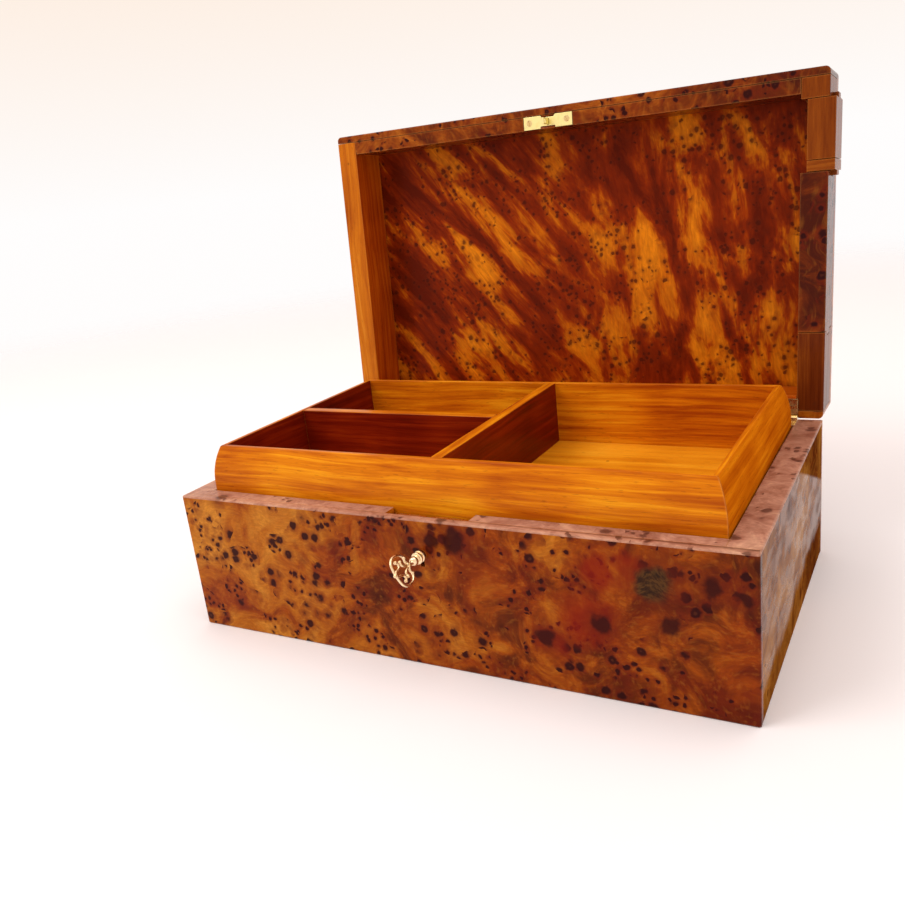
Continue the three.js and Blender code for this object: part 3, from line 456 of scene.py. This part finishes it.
# Pale pinkish burl for the rim: the wood's figure with a painted reflection of the bright surroundings.
RIM_GLARE_TONES = [
    (0.28, (0.32, 0.13, 0.080)), (0.42, (0.42, 0.19, 0.125)), (0.55, (0.51, 0.25, 0.17)),
    (0.72, (0.62, 0.34, 0.22)),
]
GOLD_TONES = [
    (0.28, (0.33, 0.056, 0.002)), (0.43, (0.48, 0.113, 0.002)), (0.56, (0.62, 0.182, 0.003)),
    (0.72, (0.78, 0.31, 0.008)),
]
FLOOR_TONES = [
    (0.28, (0.56, 0.16, 0.004)), (0.43, (0.70, 0.24, 0.007)), (0.56, (0.80, 0.31, 0.012)),
    (0.72, (0.88, 0.42, 0.03)),
]
# Painted shade: dark red copies of the tray's golden wood, for its shaded inner faces.
PAINTED_SHADE_TONES = [
    (0.28, (0.065, 0.003, 0.001)), (0.43, (0.125, 0.006, 0.001)), (0.56, (0.19, 0.013, 0.0015)),
    (0.72, (0.29, 0.034, 0.002)),
]
ORANGE_TONES = [
    (0.28, (0.30, 0.058, 0.002)), (0.43, (0.42, 0.10, 0.004)), (0.56, (0.53, 0.15, 0.006)),
    (0.72, (0.66, 0.24, 0.02)),
]
# Painted shade: a darker copy of the tray's wood for the right wall's outer face, which is turned from the light.
TRAY_END_SHADE_TONES = [
    (0.28, (0.34, 0.060, 0.001)), (0.43, (0.47, 0.105, 0.002)), (0.56, (0.58, 0.155, 0.003)),
    (0.72, (0.70, 0.24, 0.006)),
]
# Painted shade: a darker red copy of the plain wood for the lid's walls, whose inner faces stand in shade.
LID_WALL_TONES = [
    (0.28, (0.24, 0.026, 0.002)), (0.43, (0.38, 0.052, 0.002)), (0.56, (0.50, 0.088, 0.003)),
    (0.72, (0.60, 0.14, 0.006)),
]
BLOCK_TONES = [
    (0.28, (0.11, 0.018, 0.001)), (0.43, (0.16, 0.030, 0.002)), (0.56, (0.215, 0.046, 0.003)),
    (0.72, (0.29, 0.075, 0.006)),
]
REAR_TONES = [
    (0.28, (0.045, 0.006, 0.001)), (0.43, (0.08, 0.011, 0.001)), (0.56, (0.13, 0.022, 0.002)),
    (0.72, (0.22, 0.05, 0.004)),
]

# The front's large knots and red stains, each given as (across, up, radius) in millimetres.
FRONT_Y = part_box("base_front_facing")[0].y
FRONT_KNOTS = [(x * MM, FRONT_Y, z * MM, radius * MM) for x, z, radius in (
    (108, 58.5, 7.5), (16.5, 68, 5.5), (4.5, 66.5, 3.5), (85, 37, 4.5),
    (58.5, 26.5, 4.0), (132, 60.5, 4.2), (114.5, 40.5, 4.4), (144, 56.5, 3.4),
)]
FRONT_STAINS = [(x * MM, FRONT_Y, z * MM, radius * MM) for x, z, radius in (
    (86, 60, 9), (78, 38, 13), (98, 66, 6), (60, 25, 8),
)]

FINISHES = {f.material.name: f.material for f in (
    burl("front_burl", FRONT_TONES, lean=-1.1, redness=0.25, big_knots=FRONT_KNOTS,
         stains=FRONT_STAINS),
    hazy_side_burl("side_burl", SIDE_TONES),
    burl("left_burl", FRONT_TONES),
    burl("back_burl", FRONT_TONES, lean=0.3, redness=0.4),
    # the rim burl: its pale tones and pink ripples are painted reflection on the glossy rim
    burl("rim_burl", RIM_GLARE_TONES, lean=-0.2, figure=12 * MM, ripple=PINK_GLARE_RIPPLE, eye_share=0.5,
         eye_depth=0.6),
    burl("lid_burl", FRONT_TONES, TO_CLOSED, lean=0.2, redness=0.5),
    # painted shade: the lid's front rim is the lid's burl in darker brown tones, as it stands in shade
    burl("lid_rim_burl", BROWN_TONES, TO_CLOSED, lean=-0.5, figure=18 * MM),
    flamed_burl("lid_flame_burl", TO_CLOSED),
    burl("drawer_burl", BROWN_TONES, TO_CLOSED, lean=-0.9, figure=15 * MM),
    straight_grain("plain_along", "x", ORANGE_TONES),
    straight_grain("plain_across", "y", ORANGE_TONES),
    # painted shade: the lid's walls in darker red tones than their lit rims
    straight_grain("lid_wall_across", "y", LID_WALL_TONES, TO_CLOSED),
    straight_grain("lid_wall_along", "x", LID_WALL_TONES, TO_CLOSED),
    straight_grain("lid_left_rim", "y", ORANGE_TONES, TO_CLOSED, flecks=0.5),
    straight_grain("block_grain", "y", BLOCK_TONES, TO_CLOSED),
    straight_grain("band_grain", "x", BLOCK_TONES, TO_CLOSED, streak=2.5 * MM),
    straight_grain("rear_grain", "y", REAR_TONES, TO_CLOSED, streak=4 * MM, flecks=0.6),
    straight_grain("tray_along", "x", GOLD_TONES, contrast=0.75),
    straight_grain("tray_across", "y", GOLD_TONES, contrast=0.75, gloss=0.2),
    # painted shade: the tray's right outer face in darker tones, with no coat or sheen
    straight_grain("tray_end_shade_across", "y", TRAY_END_SHADE_TONES, gloss=0.0, sheen=0.0),
    straight_grain("tray_floor", "x", FLOOR_TONES, streak=7 * MM, flecks=0.35),
    # the tray shade finishes paint the shade on the dividers' sides and on the left wall's inner face
    straight_grain("tray_shade_along", "x", PAINTED_SHADE_TONES),
    straight_grain("tray_shade_across", "y", PAINTED_SHADE_TONES),
    brass("hinge_brass", (0.80, 0.58, 0.26), (0.55, 0.36, 0.13)),
    brass("catch_brass", (0.90, 0.78, 0.34), (0.78, 0.62, 0.24), rough=0.36),
    brass("key_brass", (0.95, 0.74, 0.46), (0.70, 0.46, 0.20), rough=0.2),
)}

# ------------------------------------------------------------------ wooden pieces
# What each piece is finished in. TRAY gives a second finish, a darker copy of the tray's wood that paints shade,
# for the faces that tray_piece picks.
WOOD = {
    "base_front_facing": "front_burl", "base_back_facing": "back_burl",
    "base_right_wall": "side_burl", "base_left_wall": "left_burl",
    "base_front_wall": "plain_along", "base_back_wall": "plain_along",
    "base_bottom_panel": "plain_along", "left_tray_ledge": "plain_across",
    "right_tray_ledge": "plain_across",
    "lid_front_facing": "lid_rim_burl", "lid_front_wall": "lid_rim_burl",
    "lid_back_facing": "lid_burl", "lid_back_wall": "lid_wall_along",
    "lid_left_wall": "lid_wall_across", "lid_right_front_post": "block_grain",
    "release_block": "block_grain", "release_block_band": "band_grain",
    "key_drawer": "drawer_burl", "lid_right_rear_block": "rear_grain",
}
TRAY = {
    "tray_front_wall": ("tray_along", None), "tray_back_wall": ("tray_along", None),
    "tray_left_wall": ("tray_across", "tray_shade_across"),
    "tray_right_wall": ("tray_across", "tray_end_shade_across"),
    "tray_bottom": ("tray_floor", None), "tray_long_divider": ("tray_across", "tray_shade_across"),
    "tray_cross_divider": ("tray_along", "tray_shade_along"),
}
RIMS = {  # the finish of the faces where the box's two halves meet; the base's rim burl is pale and pinkish, a painted reflection of the bright surroundings
    "base_front_facing": "rim_burl", "base_front_wall": "rim_burl", "base_right_wall": "rim_burl",
    "base_left_wall": "rim_burl", "base_back_wall": "rim_burl", "base_back_facing": "rim_burl",
    "lid_left_wall": "lid_left_rim",
}
WOODEN = {*WOOD, *TRAY, "lid_top_panel"}


def closed(body, place):
    """Where that place on a body is when the lid is closed."""
    return CLOSE_LID @ place if body in ("lid", "release_block", "key_drawer") else place


def hull(body):
    """The lowest and the highest corner of a body's woodwork when the box is closed."""
    places = [closed(body, v.co) for n, b in BODY_OF.items() if b == body and n in WOODEN
              for v in NODES[n].data.vertices]
    return (Vector([min(p[i] for p in places) for i in range(3)]),
            Vector([max(p[i] for p in places) for i in range(3)]))


HULLS = {body: hull(body) for body in ("base", "lid", "tray", "release_block", "key_drawer")}


def rim_height(body):
    """The height where the lid and the base meet, on that body's side."""
    low, high = HULLS[body]
    return low.z if body == "lid" else high.z


def faces_met(low, high, a, b):
    """How many of the hull's planes an edge from a to b lies in."""
    return sum(abs(p - q[i]) < SAME and abs(p - r[i]) < SAME
               for i in range(3) for p, q, r in ((low[i], a, b), (high[i], a, b)))


def solid_copy(node):
    """A CAD node's solid as a clean mesh: its doubles merged and its flat faces whole."""
    bm = bmesh.new()
    bm.from_mesh(NODES[node].data)
    bmesh.ops.remove_doubles(bm, verts=bm.verts, dist=DOUBLE)
    bmesh.ops.dissolve_limit(bm, angle_limit=FLAT, verts=bm.verts, edges=bm.edges,
                             use_dissolve_boundaries=False)
    return bm


def ease(bm, chosen, width, segments=3):
    """Rounds those of the solid's sharp edges that chosen says yes to."""
    edges = [e for e in bm.edges if len(e.link_faces) == 2 and chosen(e)
             and e.calc_face_angle(0) > SHARP]
    if edges:
        bmesh.ops.bevel(bm, geom=edges, offset=width, segments=segments, profile=0.6,
                        affect="EDGES", clamp_overlap=True)


def piece(name, bm, nodes, materials, paint=None):
    """Makes a finished piece, which stands for those nodes and rides on their body."""
    mesh = bpy.data.meshes.new(name)
    bm.to_mesh(mesh)
    bm.free()
    for m in materials:
        mesh.materials.append(FINISHES[m])
    for polygon in mesh.polygons:
        polygon.use_smooth = True
        if paint:
            polygon.material_index = paint(polygon)
    mesh.set_sharp_from_angle(angle=CREASE)
    made = bpy.data.objects.new(name, mesh)
    bpy.context.scene.collection.objects.link(made)
    weighted = made.modifiers.new("even_shading", "WEIGHTED_NORMAL")
    weighted.keep_sharp = True
    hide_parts(*nodes)
    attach(made, BODY_OF[nodes[0]])


def wooden(node, finish, paint=None, extra=()):
    """A wooden piece with its outer edges sanded round and its rim edges just broken."""
    body = BODY_OF[node]
    low, high = HULLS[body]
    bm = solid_copy(node)

    def planes(edge):
        return faces_met(low, high, *(closed(body, v.co) for v in edge.verts))

    def on_rounded_corner(edge):
        middle = closed(body, (edge.verts[0].co + edge.verts[1].co) / 2)
        return all(min(middle[i] - low[i], high[i] - middle[i]) < CORNER_REACH for i in (0, 1))

    def meets_other_half(edge):
        return all(abs(place.z - rim_height(body)) < SAME and abs(place.y - high.y) < SAME
                   for place in (closed(body, v.co) for v in edge.verts))

    if body in ("release_block", "key_drawer"):
        ease(bm, lambda e: e.calc_length() > SHORTEST_SLIDING, SLIDING_EASE)
    else:
        ease(bm, meets_other_half, MEETING_EASE, 2)
        ease(bm, lambda e: planes(e) >= 2 or (planes(e) and on_rounded_corner(e)), OUTER_EASE)
    piece(node + "_eased", bm, [node], [finish, *extra], paint)


def tray_piece(node, finish, second=None):
    """A tray piece with rounded top edges.

    A second finish, a darker copy of the wood with painted shade, goes on the faces of an end wall that look
    right, and on the sides of a divider.
    """
    top = HULLS["tray"][1].z
    bm = solid_copy(node)

    def on_top(edge):
        return all(abs(v.co.z - top) < SAME for v in edge.verts) and edge.calc_length() > SHORTEST_TRAY

    def paint(polygon):
        if node in ("tray_left_wall", "tray_right_wall"):
            return int(polygon.normal.x > LOOKS_RIGHT)
        return int(abs(polygon.normal.z) < UPRIGHT)

    ease(bm, on_top, TRAY_EASE)

    if second:
        piece(node + "_eased", bm, [node], [finish, second], paint)
    else:
        piece(node + "_eased", bm, [node], [finish])


def rim_painter(node):
    """Picks the rim's own finish for the faces where the box's two halves meet."""
    body = BODY_OF[node]
    return lambda polygon: int(abs(closed(body, polygon.center).z - rim_height(body)) < OUTER_EASE)


for node, finish in WOOD.items():
    if node in RIMS:
        wooden(node, finish, rim_painter(node), [RIMS[node]])
    else:
        wooden(node, finish)

panel_under = min(closed("lid", v.co).z for v in NODES["lid_top_panel"].data.vertices)
wooden("lid_top_panel", "lid_burl", extra=["lid_flame_burl"],
       paint=lambda p: int(closed("lid", p.center).z < panel_under + SAME))

for node, (finish, second) in TRAY.items():
    tray_piece(node, finish, second)


# ------------------------------------------------------------------ brass pieces
def brass_piece(node, finish="hinge_brass"):
    bm = solid_copy(node)
    ease(bm, lambda e: e.calc_length() > SHORTEST_BRASS, BRASS_EASE, 2)
    piece(node + "_filed", bm, [node], [finish])


for node in ("lock_case", "lock_drill_pin", "lock_bolt", "left_hinge_pin", "right_hinge_pin",
             "left_hinge_base_leaf", "right_hinge_base_leaf", "left_hinge_lid_leaf",
             "right_hinge_lid_leaf"):
    brass_piece(node)
for node in ("catch_plate", "catch_hook"):
    brass_piece(node, "catch_brass")


def screw_tree():
    """Slotted countersunk screws, one at each point of the mesh that it is given."""
    tree = bpy.data.node_groups.new("slotted_screws", "GeometryNodeTree")
    sizes = ("Head radius", "Head depth", "Shank radius", "Length", "Slot width", "Slot depth")
    head_sides, shank_sides = 32, 20
    tree.interface.new_socket("Geometry", in_out="INPUT", socket_type="NodeSocketGeometry")
    for name in sizes:
        tree.interface.new_socket(name, in_out="INPUT", socket_type="NodeSocketFloat")
    tree.interface.new_socket("Facing", in_out="INPUT", socket_type="NodeSocketVector")
    tree.interface.new_socket("Seed", in_out="INPUT", socket_type="NodeSocketInt")
    tree.interface.new_socket("Brass", in_out="INPUT", socket_type="NodeSocketMaterial")
    tree.interface.new_socket("Geometry", in_out="OUTPUT", socket_type="NodeSocketGeometry")
    given = tree.nodes.new("NodeGroupInput").outputs
    result = tree.nodes.new("NodeGroupOutput")

    def node(kind, values=(), **settings):
        made = tree.nodes.new(kind)
        for key, value in settings.items():
            setattr(made, key, value)
        for socket, value in dict(values).items():
            if isinstance(value, bpy.types.NodeSocket):
                tree.links.new(value, made.inputs[socket])
            else:
                made.inputs[socket].default_value = value
        return made

    def number(operation, a, b):
        return node("ShaderNodeMath", {0: a, 1: b}, operation=operation).outputs[0]

    def at_height(geometry, z):
        place = node("ShaderNodeCombineXYZ", {2: z}).outputs[0]
        values = {"Geometry": geometry, "Translation": place}
        return node("GeometryNodeTransform", values).outputs[0]

    head = node("GeometryNodeMeshCone", {
        "Vertices": head_sides, "Radius Top": given["Head radius"],
        "Radius Bottom": given["Shank radius"], "Depth": given["Head depth"],
    }).outputs["Mesh"]
    head = at_height(head, number("MULTIPLY", given["Head depth"], -1.0))
    slot_size = node("ShaderNodeCombineXYZ", {
        0: number("MULTIPLY", given["Head radius"], 2.4), 1: given["Slot width"],
        2: number("MULTIPLY", given["Slot depth"], 2.0),
    }).outputs[0]
    slot = node("GeometryNodeMeshCube", {"Size": slot_size}).outputs["Mesh"]
    cut = node("GeometryNodeMeshBoolean", operation="DIFFERENCE", solver="EXACT")
    tree.links.new(head, cut.inputs[0])
    tree.links.new(slot, cut.inputs[1])
    shank_length = number("SUBTRACT", given["Length"], given["Head depth"])
    shank = node("GeometryNodeMeshCylinder", {
        "Vertices": shank_sides, "Radius": given["Shank radius"], "Depth": shank_length,
    }).outputs["Mesh"]
    below = number("SUBTRACT", number("MULTIPLY", shank_length, -0.5), given["Head depth"])
    shank = at_height(shank, below)
    screw = node("GeometryNodeJoinGeometry")
    tree.links.new(cut.outputs[0], screw.inputs[0])
    tree.links.new(shank, screw.inputs[0])
    placed = node("GeometryNodeInstanceOnPoints", {
        "Points": given["Geometry"], "Instance": screw.outputs[0], "Rotation": given["Facing"],
    }).outputs[0]
    turn = node("FunctionNodeRandomValue", {"Seed": given["Seed"]}, data_type="FLOAT_VECTOR")
    turn.inputs[0].default_value = (0, 0, 0)
    turn.inputs[1].default_value = (0, 0, math.pi)
    turned = node("GeometryNodeRotateInstances", {
        "Instances": placed, "Rotation": turn.outputs[0], "Local Space": True,
    }).outputs[0]
    real = node("GeometryNodeRealizeInstances", {"Geometry": turned}).outputs[0]
    done = node("GeometryNodeSetMaterial", {"Geometry": real, "Material": given["Brass"]}).outputs[0]
    tree.links.new(done, result.inputs[0])
    return tree


SCREWS = screw_tree()
SCREW_SIZES = {
    "Head radius": 1.7 * MM, "Head depth": 0.9 * MM, "Shank radius": 0.8 * MM, "Length": 8.0 * MM,
    "Slot width": 0.45 * MM, "Slot depth": 0.4 * MM,
}
SHORT_SCREW_SIZES = {**SCREW_SIZES, "Head depth": 0.8 * MM, "Length": 3.3 * MM}


def screws(name, nodes, facing, seed, sizes=SCREW_SIZES):
    """One mesh of slotted screws in the places of those nodes. facing turns +Z to face as they do."""
    outwards = Euler(facing).to_matrix() @ Vector((0, 0, 1))
    heads = []
    for n in nodes:
        places = [v.co for v in NODES[n].data.vertices]
        far = max(p.dot(outwards) for p in places)
        ring = [p for p in places if p.dot(outwards) > far - SAME]
        heads.append(sum(ring, Vector()) / len(ring))
    mesh = bpy.data.meshes.new(name + "_points")
    mesh.from_pydata(heads, [], [])
    holder = bpy.data.objects.new(name + "_points", mesh)
    bpy.context.scene.collection.objects.link(holder)
    made_by = holder.modifiers.new("screws", "NODES")
    made_by.node_group = SCREWS
    values = {**sizes, "Facing": facing, "Seed": seed, "Brass": FINISHES["hinge_brass"]}
    for socket in SCREWS.interface.items_tree:
        if socket.in_out == "INPUT" and socket.name in values:
            made_by[socket.identifier] = values[socket.name]
    graph = bpy.context.evaluated_depsgraph_get()
    result = bpy.data.meshes.new_from_object(holder.evaluated_get(graph))
    bpy.data.objects.remove(holder)
    result.name = name
    made = bpy.data.objects.new(name, result)
    bpy.context.scene.collection.objects.link(made)
    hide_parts(*nodes)
    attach(made, BODY_OF[nodes[0]])


SIDES = ("left", "right")
HINGE_SCREWS = [(side, end) for side in SIDES for end in ("outer", "inner")]
UPWARDS, BACKWARDS, OUT_OF_LID = (0, 0, 0), (-math.pi / 2, 0, 0), (math.pi - LID_OPEN, 0, 0)
screws("base_hinge_screws", [f"{s}_hinge_base_screw_{e}" for s, e in HINGE_SCREWS], UPWARDS, 3)
screws("lid_hinge_screws", [f"{s}_hinge_lid_screw_{e}" for s, e in HINGE_SCREWS], OUT_OF_LID, 5)
screws("catch_screws", [f"{s}_catch_screw" for s in SIDES], OUT_OF_LID, 8)
screws("lock_screws", [f"{s}_lock_screw" for s in SIDES], BACKWARDS, 11, SHORT_SCREW_SIZES)


# ------------------------------------------------------------------ key
KEY_AXIS = Vector(JOINTS["key_turn"]["pos_m"])
KEY_TURNED = math.radians(29)  # past upright
KEY_ACROSS = Vector((-math.sin(KEY_TURNED), 0, math.cos(KEY_TURNED)))
KEY_FLAT = Vector((math.cos(KEY_TURNED), 0, math.sin(KEY_TURNED)))
OUT = Vector((0, -1, 0))

# The key's sizes are in millimetres, and its places are out from the front of the box.
HOLE_R, BARREL_R, BOSS_R = 1.1, 2.0, 2.3
HOLE_FLOOR = -0.4
COLLAR_R, COLLAR_W, COLLAR_CURVE, COLLAR_DROP = 2.9, 1.3, 0.3, 0.35
COLLAR_STARTS = (1.2, 3.4)
BOSS_MIDDLE, BOSS_STEPS = 7.0, 8
BOSS_FROM, BOSS_TO = math.radians(-52), math.radians(56)
TURNED_SIDES = 40
BIT_W, BIT_H, BIT_T = 3.2, 4.1, 1.4
BIT_ROOT = 1.5  # how far the bit starts from the key's axis

# The bow: wires through these (out, across) places, drawn for one side and mirrored, then drawn in.
NECK_OUT = 10.6  # where the bow joins the shank
BOW_LENGTH, BOW_WIDTH = 0.87, 0.9  # shares of the drawn size
BOW_FRAME = [
    (NECK_OUT, 0.0), (12.0, 0.9), (12.9, 2.6), (12.4, 4.4), (13.2, 6.0), (15.4, 7.5),
    (18.4, 8.1), (21.4, 7.6), (23.6, 5.6), (24.3, 2.9), (24.6, 0.6),
]
BOW_SCROLL = [(24.4, 0.4), (23.0, 1.4), (21.2, 1.6), (19.2, 2.4), (18.6, 4.2), (19.8, 5.2)]
BOW_CURL = [(12.2, 0.8), (14.4, 0.9), (16.4, 1.9), (16.6, 4.0)]
BOW_WIRES = ((BOW_SCROLL, 0.6, 0.95), (BOW_CURL, 0.55, 0.9))  # places, radius, radius of end balls
FRAME_R = 0.62
CROWN_OUT, CROWN_R = 25.0, 0.95
SHOULDER, SHOULDER_R = (12.3, 4.4), 0.85
WIRE_SIDES, WIRE_STEPS = 14, 8


def key_place(out, across=0.0, thick=0.0):
    """A place on the key: out from the front, across the bow, and through its thickness."""
    front = Vector((KEY_AXIS.x, FRONT_Y, KEY_AXIS.z))
    return front + (OUT * out + KEY_ACROSS * across + KEY_FLAT * thick) * MM


def drawn_in(out, across):
    """A place of the bow, drawn towards its neck to the real size."""
    return NECK_OUT + (out - NECK_OUT) * BOW_LENGTH, across * BOW_WIDTH


def key_profile(inside):
    """The turned part as (out, radius), from the floor of the barrel's hole to the neck's end."""
    profile = [(HOLE_FLOOR, 0), (HOLE_FLOOR, HOLE_R), (-inside, HOLE_R), (-inside, BARREL_R - 0.2),
               (-inside + 0.2, BARREL_R), (COLLAR_STARTS[0] - 0.1, BARREL_R)]
    for start in COLLAR_STARTS:
        end = start + COLLAR_W
        low = COLLAR_R - COLLAR_DROP
        profile += [(start, low), (start + COLLAR_CURVE, COLLAR_R), (end - COLLAR_CURVE, COLLAR_R),
                    (end, low), (end + 0.05, BARREL_R - 0.25)]
    profile.append((5.0, BARREL_R - 0.5))
    for i in range(BOSS_STEPS + 1):
        a = BOSS_FROM + (BOSS_TO - BOSS_FROM) * i / BOSS_STEPS
        profile.append((BOSS_MIDDLE + BOSS_R * math.sin(a), BOSS_R * math.cos(a)))
    return profile + [(9.0, 1.05), (9.6, 0.8), (11.2, 0.75), (11.2, 0)]


def turned_rod(bm, profile):
    """A closed body of revolution on the key's axis."""
    angles = [2 * math.pi * i / TURNED_SIDES for i in range(TURNED_SIDES)]
    rings = []
    for out, radius in profile:
        if radius:
            rings.append([bm.verts.new(key_place(out, radius * math.sin(a), radius * math.cos(a)))
                          for a in angles])
        else:
            rings.append([bm.verts.new(key_place(out))])
    for one, other in zip(rings, rings[1:]):
        for i in range(TURNED_SIDES):
            j = (i + 1) % TURNED_SIDES
            corners = [ring[k % len(ring)] for ring, k in ((one, i), (one, j), (other, j), (other, i))]
            corners = list(dict.fromkeys(corners))
            if len(corners) > 2:
                bm.faces.new(corners)


def curve_through(points):
    """A smooth line through flat points: each stretch bends by its neighbours on both sides."""
    line = []
    padded = [points[0], *points, points[-1]]
    for a, b, c, d in zip(padded, padded[1:], padded[2:], padded[3:]):
        for step in range(WIRE_STEPS):
            t = step / WIRE_STEPS
            line.append([
                0.5 * (2 * b[i] + (c[i] - a[i]) * t + (2 * a[i] - 5 * b[i] + 4 * c[i] - d[i]) * t ** 2
                       + (3 * b[i] - a[i] - 3 * c[i] + d[i]) * t ** 3)
                for i in range(2)
            ])
    return line + [list(points[-1])]


def wire(bm, points, radius, tip=None):
    """Round wire bent through the bow's places, with a ball of radius tip at both ends."""
    line = curve_through([drawn_in(*p) for p in points])
    angles = [2 * math.pi * k / WIRE_SIDES for k in range(WIRE_SIDES)]
    rings = []
    for i, (out, across) in enumerate(line):
        before, after = line[max(i - 1, 0)], line[min(i + 1, len(line) - 1)]
        along = Vector((after[0] - before[0], after[1] - before[1])).normalized()
        ring = []
        for a in angles:
            aside = radius * math.cos(a)
            ring.append(bm.verts.new(key_place(out - along.y * aside, across + along.x * aside,
                                               radius * math.sin(a))))
        rings.append(ring)
    for one, other in zip(rings, rings[1:]):
        for k in range(WIRE_SIDES):
            j = (k + 1) % WIRE_SIDES
            bm.faces.new([one[k], one[j], other[j], other[k]])
    bm.faces.new(rings[0])
    bm.faces.new(list(reversed(rings[-1])))
    if tip:
        ball(bm, *line[0], tip)
        ball(bm, *line[-1], tip)


def ball(bm, out, across, radius):
    matrix = Matrix.Translation(key_place(out, across))
    bmesh.ops.create_uvsphere(bm, u_segments=20, v_segments=12, radius=radius * MM, matrix=matrix)


def make_key():
    inside = (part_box("key")[1].y - FRONT_Y) / MM  # how far the barrel reaches into the lock
    bm = bmesh.new()
    turned_rod(bm, key_profile(inside))
    for v in bmesh.ops.create_cube(bm, size=1)["verts"]:
        out = (v.co.x + 0.5) * BIT_W - inside
        down = BIT_ROOT + (v.co.y + 0.5) * BIT_H
        v.co = key_place(out, -down, v.co.z * BIT_T)
    for side in (-1, 1):
        wire(bm, [(out, side * across) for out, across in BOW_FRAME], FRAME_R)
    for side in (-1, 1):
        for places, radius, tip in BOW_WIRES:
            wire(bm, [(out, side * across) for out, across in places], radius, tip)
    ball(bm, *drawn_in(CROWN_OUT, 0), CROWN_R)
    for side in (-1, 1):
        ball(bm, *drawn_in(SHOULDER[0], side * SHOULDER[1]), SHOULDER_R)
    bmesh.ops.recalc_face_normals(bm, faces=bm.faces)
    piece("key_turned", bm, ["key"], ["key_brass"])


make_key()

# ------------------------------------------------------------------ studio
FLOOR_R = 1.9
FLOOR_BELOW = 0.05 * MM  # a hair under the box, so that their faces don't flicker
FLOOR_FADES = (0.8, 1.8)  # the distances over which the floor fades into its surroundings
FLOOR_COLOUR = (0.87, 0.855, 0.90, 1)
NEAR_HORIZON, OVERHEAD = (1.0, 0.985, 0.98, 1), (0.99, 0.865, 0.77, 1)
HORIZON_ENDS = 0.2  # the height in the sky where the overhead colour starts


def make_floor():
    bm = bmesh.new()
    bmesh.ops.create_circle(bm, cap_ends=True, cap_tris=False, segments=96, radius=FLOOR_R)
    mesh = bpy.data.meshes.new("studio_floor")
    bm.to_mesh(mesh)
    bm.free()
    floor = bpy.data.objects.new("studio_floor", mesh)
    floor.location.z = solid_low.z - FLOOR_BELOW
    bpy.context.scene.collection.objects.link(floor)
    f = Finish("pale_floor")
    away = f.vector("DISTANCE", f.place, (0.0, 0.0, 0.0))
    f.set(Base_Color=FLOOR_COLOUR, Roughness=0.6, Specular_IOR_Level=0.1,
          Alpha=f.span(away, *FLOOR_FADES, 1.0, 0.0))
    mesh.materials.append(f.material)


def make_surroundings():
    world = bpy.data.worlds.new("studio_surroundings")
    world.use_nodes = True
    nodes, links = world.node_tree.nodes, world.node_tree.links
    background = nodes["Background"]
    direction = nodes.new("ShaderNodeTexCoord")
    split = nodes.new("ShaderNodeSeparateXYZ")
    links.new(direction.outputs["Generated"], split.inputs[0])
    ramp = nodes.new("ShaderNodeValToRGB")
    low, high = ramp.color_ramp.elements
    low.position, low.color = 0.0, NEAR_HORIZON
    high.position, high.color = HORIZON_ENDS, OVERHEAD
    links.new(split.outputs["Z"], ramp.inputs[0])
    links.new(ramp.outputs[0], background.inputs["Color"])
    background.inputs["Strength"].default_value = 1.0
    bpy.context.scene.world = world


def soft_light(name, place, size, power, colour):
    """A square lamp of that size in metres and power in watts, which looks at the box."""
    lamp = bpy.data.lights.new(name, "AREA")
    lamp.shape = "SQUARE"
    lamp.size = size
    lamp.energy = power
    lamp.color = colour
    holder = bpy.data.objects.new(name, lamp)
    holder.location = place
    holder.rotation_euler = (LIT_PLACE - Vector(place)).to_track_quat("-Z", "Y").to_euler()
    bpy.context.scene.collection.objects.link(holder)


CAMERA_PLACE = (0.209149, -0.408346, 0.225588)
CAMERA_YAW, CAMERA_PITCH, CAMERA_ROLL = 30.462, 17.344, -6.628  # degrees
CAMERA_LENS, CAMERA_SENSOR = 35.396, 36  # millimetres
CAMERA_CLIP = 0.01
LIT_PLACE = Vector((0, 0, 0.08))


def make_camera():
    view = bpy.data.cameras.new("view")
    view.lens = CAMERA_LENS
    view.sensor_width = CAMERA_SENSOR
    view.clip_start = CAMERA_CLIP
    camera = bpy.data.objects.new("view", view)
    turn = (
        Matrix.Rotation(math.radians(CAMERA_YAW), 4, "Z")
        @ Matrix.Rotation(math.radians(90 - CAMERA_PITCH), 4, "X")
        @ Matrix.Rotation(math.radians(CAMERA_ROLL), 4, "Z")
    )
    camera.matrix_world = Matrix.Translation(CAMERA_PLACE) @ turn
    bpy.context.scene.collection.objects.link(camera)
    bpy.context.scene.camera = camera


make_floor()
make_surroundings()
soft_light("key_light", (-0.9, -0.9, 1.5), 0.9, 14, (1.0, 0.96, 0.9))
soft_light("top_light", (0.3, 0.1, 1.9), 1.2, 8, (1.0, 0.98, 0.96))
make_camera()
bpy.context.scene.view_settings.view_transform = "Standard"
